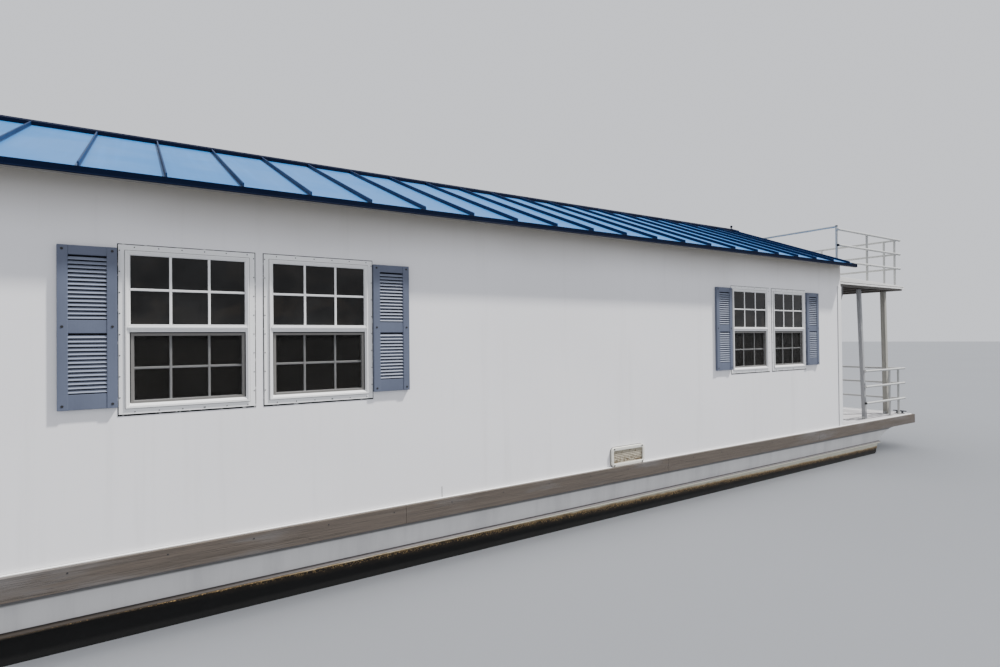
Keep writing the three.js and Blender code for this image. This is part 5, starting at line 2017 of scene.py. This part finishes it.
@dataclass
class Outboard:
    """The outboard motor: bracket, swivel, motor and propeller.

    Attributes:
        steer_x: The steering axis along the boat.
        pan: The height of the cowl's foot.
        cowl_high: The cowl's height before it is rounded.
        cowl_half: Half its width.
        crown: How the cowl is drawn in: above which height, and to what share along and across.
        intake_y: The middle of the air intakes' bars.
        intake_pitch: How far apart the bars are.
    """

    steer_x: float = -8.560
    pan: float = 1.130
    cowl_high: float = 0.464
    cowl_half: float = 0.178
    crown: tuple[tuple[float, float, float], ...] = ((0.36, 0.84, 0.92), (0.46, 0.74, 0.80))
    intake_y: float = 0.176
    intake_pitch: float = 0.021

    def build(self) -> None:
        """Builds the four bodies' pieces: the castings from the CAD with rounded edges, the cowl anew."""
        casting = soften(merged_copy("outboard_bracket", "outboard_bracket_casting"), 0.003, segments=2)
        dress(casting, BRACKET, "outboard_bracket")
        places = [(-HULL_HALF_LENGTH - 0.024, y, z) for y in (-0.225, 0.225) for z in (0.46, 0.63, 0.80)]
        head = screw_head(0.012, 0.009, Vector((-1, 0, 0)), sides=6)
        dress(scattered("outboard_bracket_bolts", head, places), GALVANISED)
        casting = soften(merged_copy("outboard_swivel", "outboard_swivel_casting"), 0.003, segments=2)
        dress(casting, BRACKET, "outboard_swivel", body="motor_swivel")
        self.cowl()
        self.intakes()
        self.leg()
        casting = soften(merged_copy("propeller", "propeller_casting"), 0.002, segments=2)
        dress(casting, BRASS, "propeller", body="screw", smooth=40.0)

    def cowl(self) -> None:
        """The cowl: a block drawn in towards its crown and rounded by subdivision."""
        x, low, half = self.steer_x, self.pan, self.cowl_half
        aft = x - 0.366
        cowl = block("outboard_cowl", (aft, -half, low), (x + 0.198, half, low + self.cowl_high), edge=0.0)
        with editing(cowl):
            pick_all()
            bpy.ops.mesh.subdivide(number_cuts=3)
            for height, along, across in self.crown:
                pick(cowl, "faces", lambda face, above=low + height: face.calc_center_median().z > above)
                bpy.ops.transform.resize(value=(along, across, 1.0), center_override=(x - 0.11, 0, low))
                bpy.ops.mesh.select_all(action="DESELECT")
            pick(cowl, "faces", lambda face: abs(face.calc_center_median().x - aft) < 0.05)
            bpy.ops.transform.resize(value=(1.0, 0.80, 1.0), center_override=(x, 0, low))
        only(cowl)
        rounder = cowl.modifiers.new("round", "SUBSURF")
        rounder.levels = rounder.render_levels = 3
        bpy.ops.object.modifier_apply(modifier=rounder.name)
        dress(cowl, COWL, body="motor", smooth=50.0)

    def intakes(self) -> None:
        """The bars of the air intakes on both sides of the cowl."""
        x, low, bars = self.steer_x - 0.014, self.pan + 0.118, []
        for y in (-self.intake_y, self.intake_y):
            for z in (low + step * self.intake_pitch for step in range(5)):
                bars.append(block("bar", (x - 0.060, y - 0.005, z), (x + 0.060, y + 0.005, z + 0.011)))
        dress(joined("outboard_intakes", bars), LEG, body="motor")

    def leg(self) -> None:
        """The pan, leg, plate, gearcase and skeg, from the CAD with rounded edges."""
        whole = merged_copy("outboard_motor", "outboard_leg")
        with editing(whole, "VERT"):
            pick_all()
            cut = (0, 0, self.pan + 0.018)
            bpy.ops.mesh.bisect(plane_co=cut, plane_no=(0, 0, 1), use_fill=True, clear_outer=True)
        dress(soften(whole, 0.004, segments=2), LEG, "outboard_motor", body="motor", smooth=40.0)


@dataclass
class Studio:
    """The floor at the waterline, the soft light and the photograph's viewpoint.

    Attributes:
        focal: The focal length in pixels of a picture 1000 wide.
        heading: How far the camera looks from +Y towards +X, in degrees.
        pitch: How far it looks up.
        roll: How far it leans.
        eye: Where it stands.
        sensor: The sensor's width in millimetres.
        sun: The way the sunlight travels.
        sun_power: The sunlight's strength.
        sun_wide: How wide the sun is, in degrees.
        backdrop: The backdrop's colour.
        backdrop_power: Its strength.
        floor_size: The floor's width.
    """

    focal: float = 564.08
    heading: float = 32.689
    pitch: float = 0.5036
    roll: float = -0.5556
    eye: Point = (-4.9458, -7.2365, 2.6102)
    sensor: float = 36.0
    sun: Point = (-1.9, 1.0, -3.4)
    sun_power: float = 7.3
    sun_wide: float = 3.0
    backdrop: Colour = srgb(222, 224, 230)
    backdrop_power: float = 1.22
    floor_size: float = 400.0

    def build(self) -> None:
        """Builds the stage, the lights and the camera."""
        self.light(self.floor())
        self.camera()

    def floor(self) -> Piece:
        """A wide pale floor at the height of the waterline."""
        pick_nothing()
        bpy.ops.mesh.primitive_plane_add(size=self.floor_size, location=(0, 0, WATERLINE))
        floor = settle("floor")
        graph = Graph("floor_pale")
        cloud = graph.noise((0.2, 0.2, 0.2), detail=2.0)
        graph.set(Base_Color=graph.mix(cloud, srgb(206, 208, 210), srgb(212, 214, 216)), Roughness=0.9)
        floor.data.materials.append(graph.material)
        return floor

    def light(self, floor: Piece) -> None:
        """An even pale backdrop and one broad soft light from high ahead to starboard.

        Args:
            floor: The floor, which the soft light spares so that it throws none back.
        """
        world = bpy.data.worlds.new("backdrop")
        bpy.context.scene.world = world
        world.use_nodes = True
        background = world.node_tree.nodes["Background"]
        background.inputs["Color"].default_value = self.backdrop
        background.inputs["Strength"].default_value = self.backdrop_power
        pick_nothing()
        bpy.ops.object.light_add(type="SUN", location=(4.0, -8.0, 12.0))
        lamp = bpy.context.active_object
        lamp.name = "sun"
        lamp.rotation_mode = "QUATERNION"
        lamp.rotation_quaternion = Vector(self.sun).to_track_quat("-Z", "Y")
        lamp.data.energy = self.sun_power
        lamp.data.angle = math.radians(self.sun_wide)
        lamp.data.color = (1.0, 0.985, 0.96)
        spared = bpy.data.collections.new("spared_by_sun")
        spared.objects.link(floor)
        lamp.light_linking.receiver_collection = spared
        spared.collection_objects[0].light_linking.link_state = "EXCLUDE"

    def camera(self) -> None:
        """The camera, from its heading, pitch and roll."""
        heading, pitch, roll = (math.radians(angle) for angle in (self.heading, self.pitch, self.roll))
        flat = math.cos(pitch)
        ahead = Vector((math.sin(heading) * flat, math.cos(heading) * flat, math.sin(pitch)))
        level = Vector((math.cos(heading), -math.sin(heading), 0.0))
        over = level.cross(ahead)
        right = level * math.cos(roll) + over * math.sin(roll)
        up = over * math.cos(roll) - level * math.sin(roll)
        pick_nothing()
        bpy.ops.object.camera_add(location=self.eye)
        camera = bpy.context.active_object
        camera.name = "photo_view"
        camera.data.sensor_fit = "HORIZONTAL"
        camera.data.sensor_width = self.sensor
        camera.data.lens = self.focal * self.sensor / 1000.0
        camera.data.clip_end = 500.0
        camera.rotation_mode = "QUATERNION"
        camera.rotation_quaternion = Matrix((right, up, -ahead)).transposed().to_quaternion()
        bpy.context.scene.camera = camera


def main() -> None:
    """Builds the boat's looks and the studio."""
    logging.basicConfig(level=logging.INFO, format="%(name)s: %(message)s")
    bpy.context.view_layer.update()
    Studio().build()
    for assembly in (Hull, House, Roof, Windows, Shutters, UpperDeck, Rails, Doors, Outboard):
        assembly().build()
        log.info("%s done", assembly.__name__)


if __name__ == "__main__":
    main()
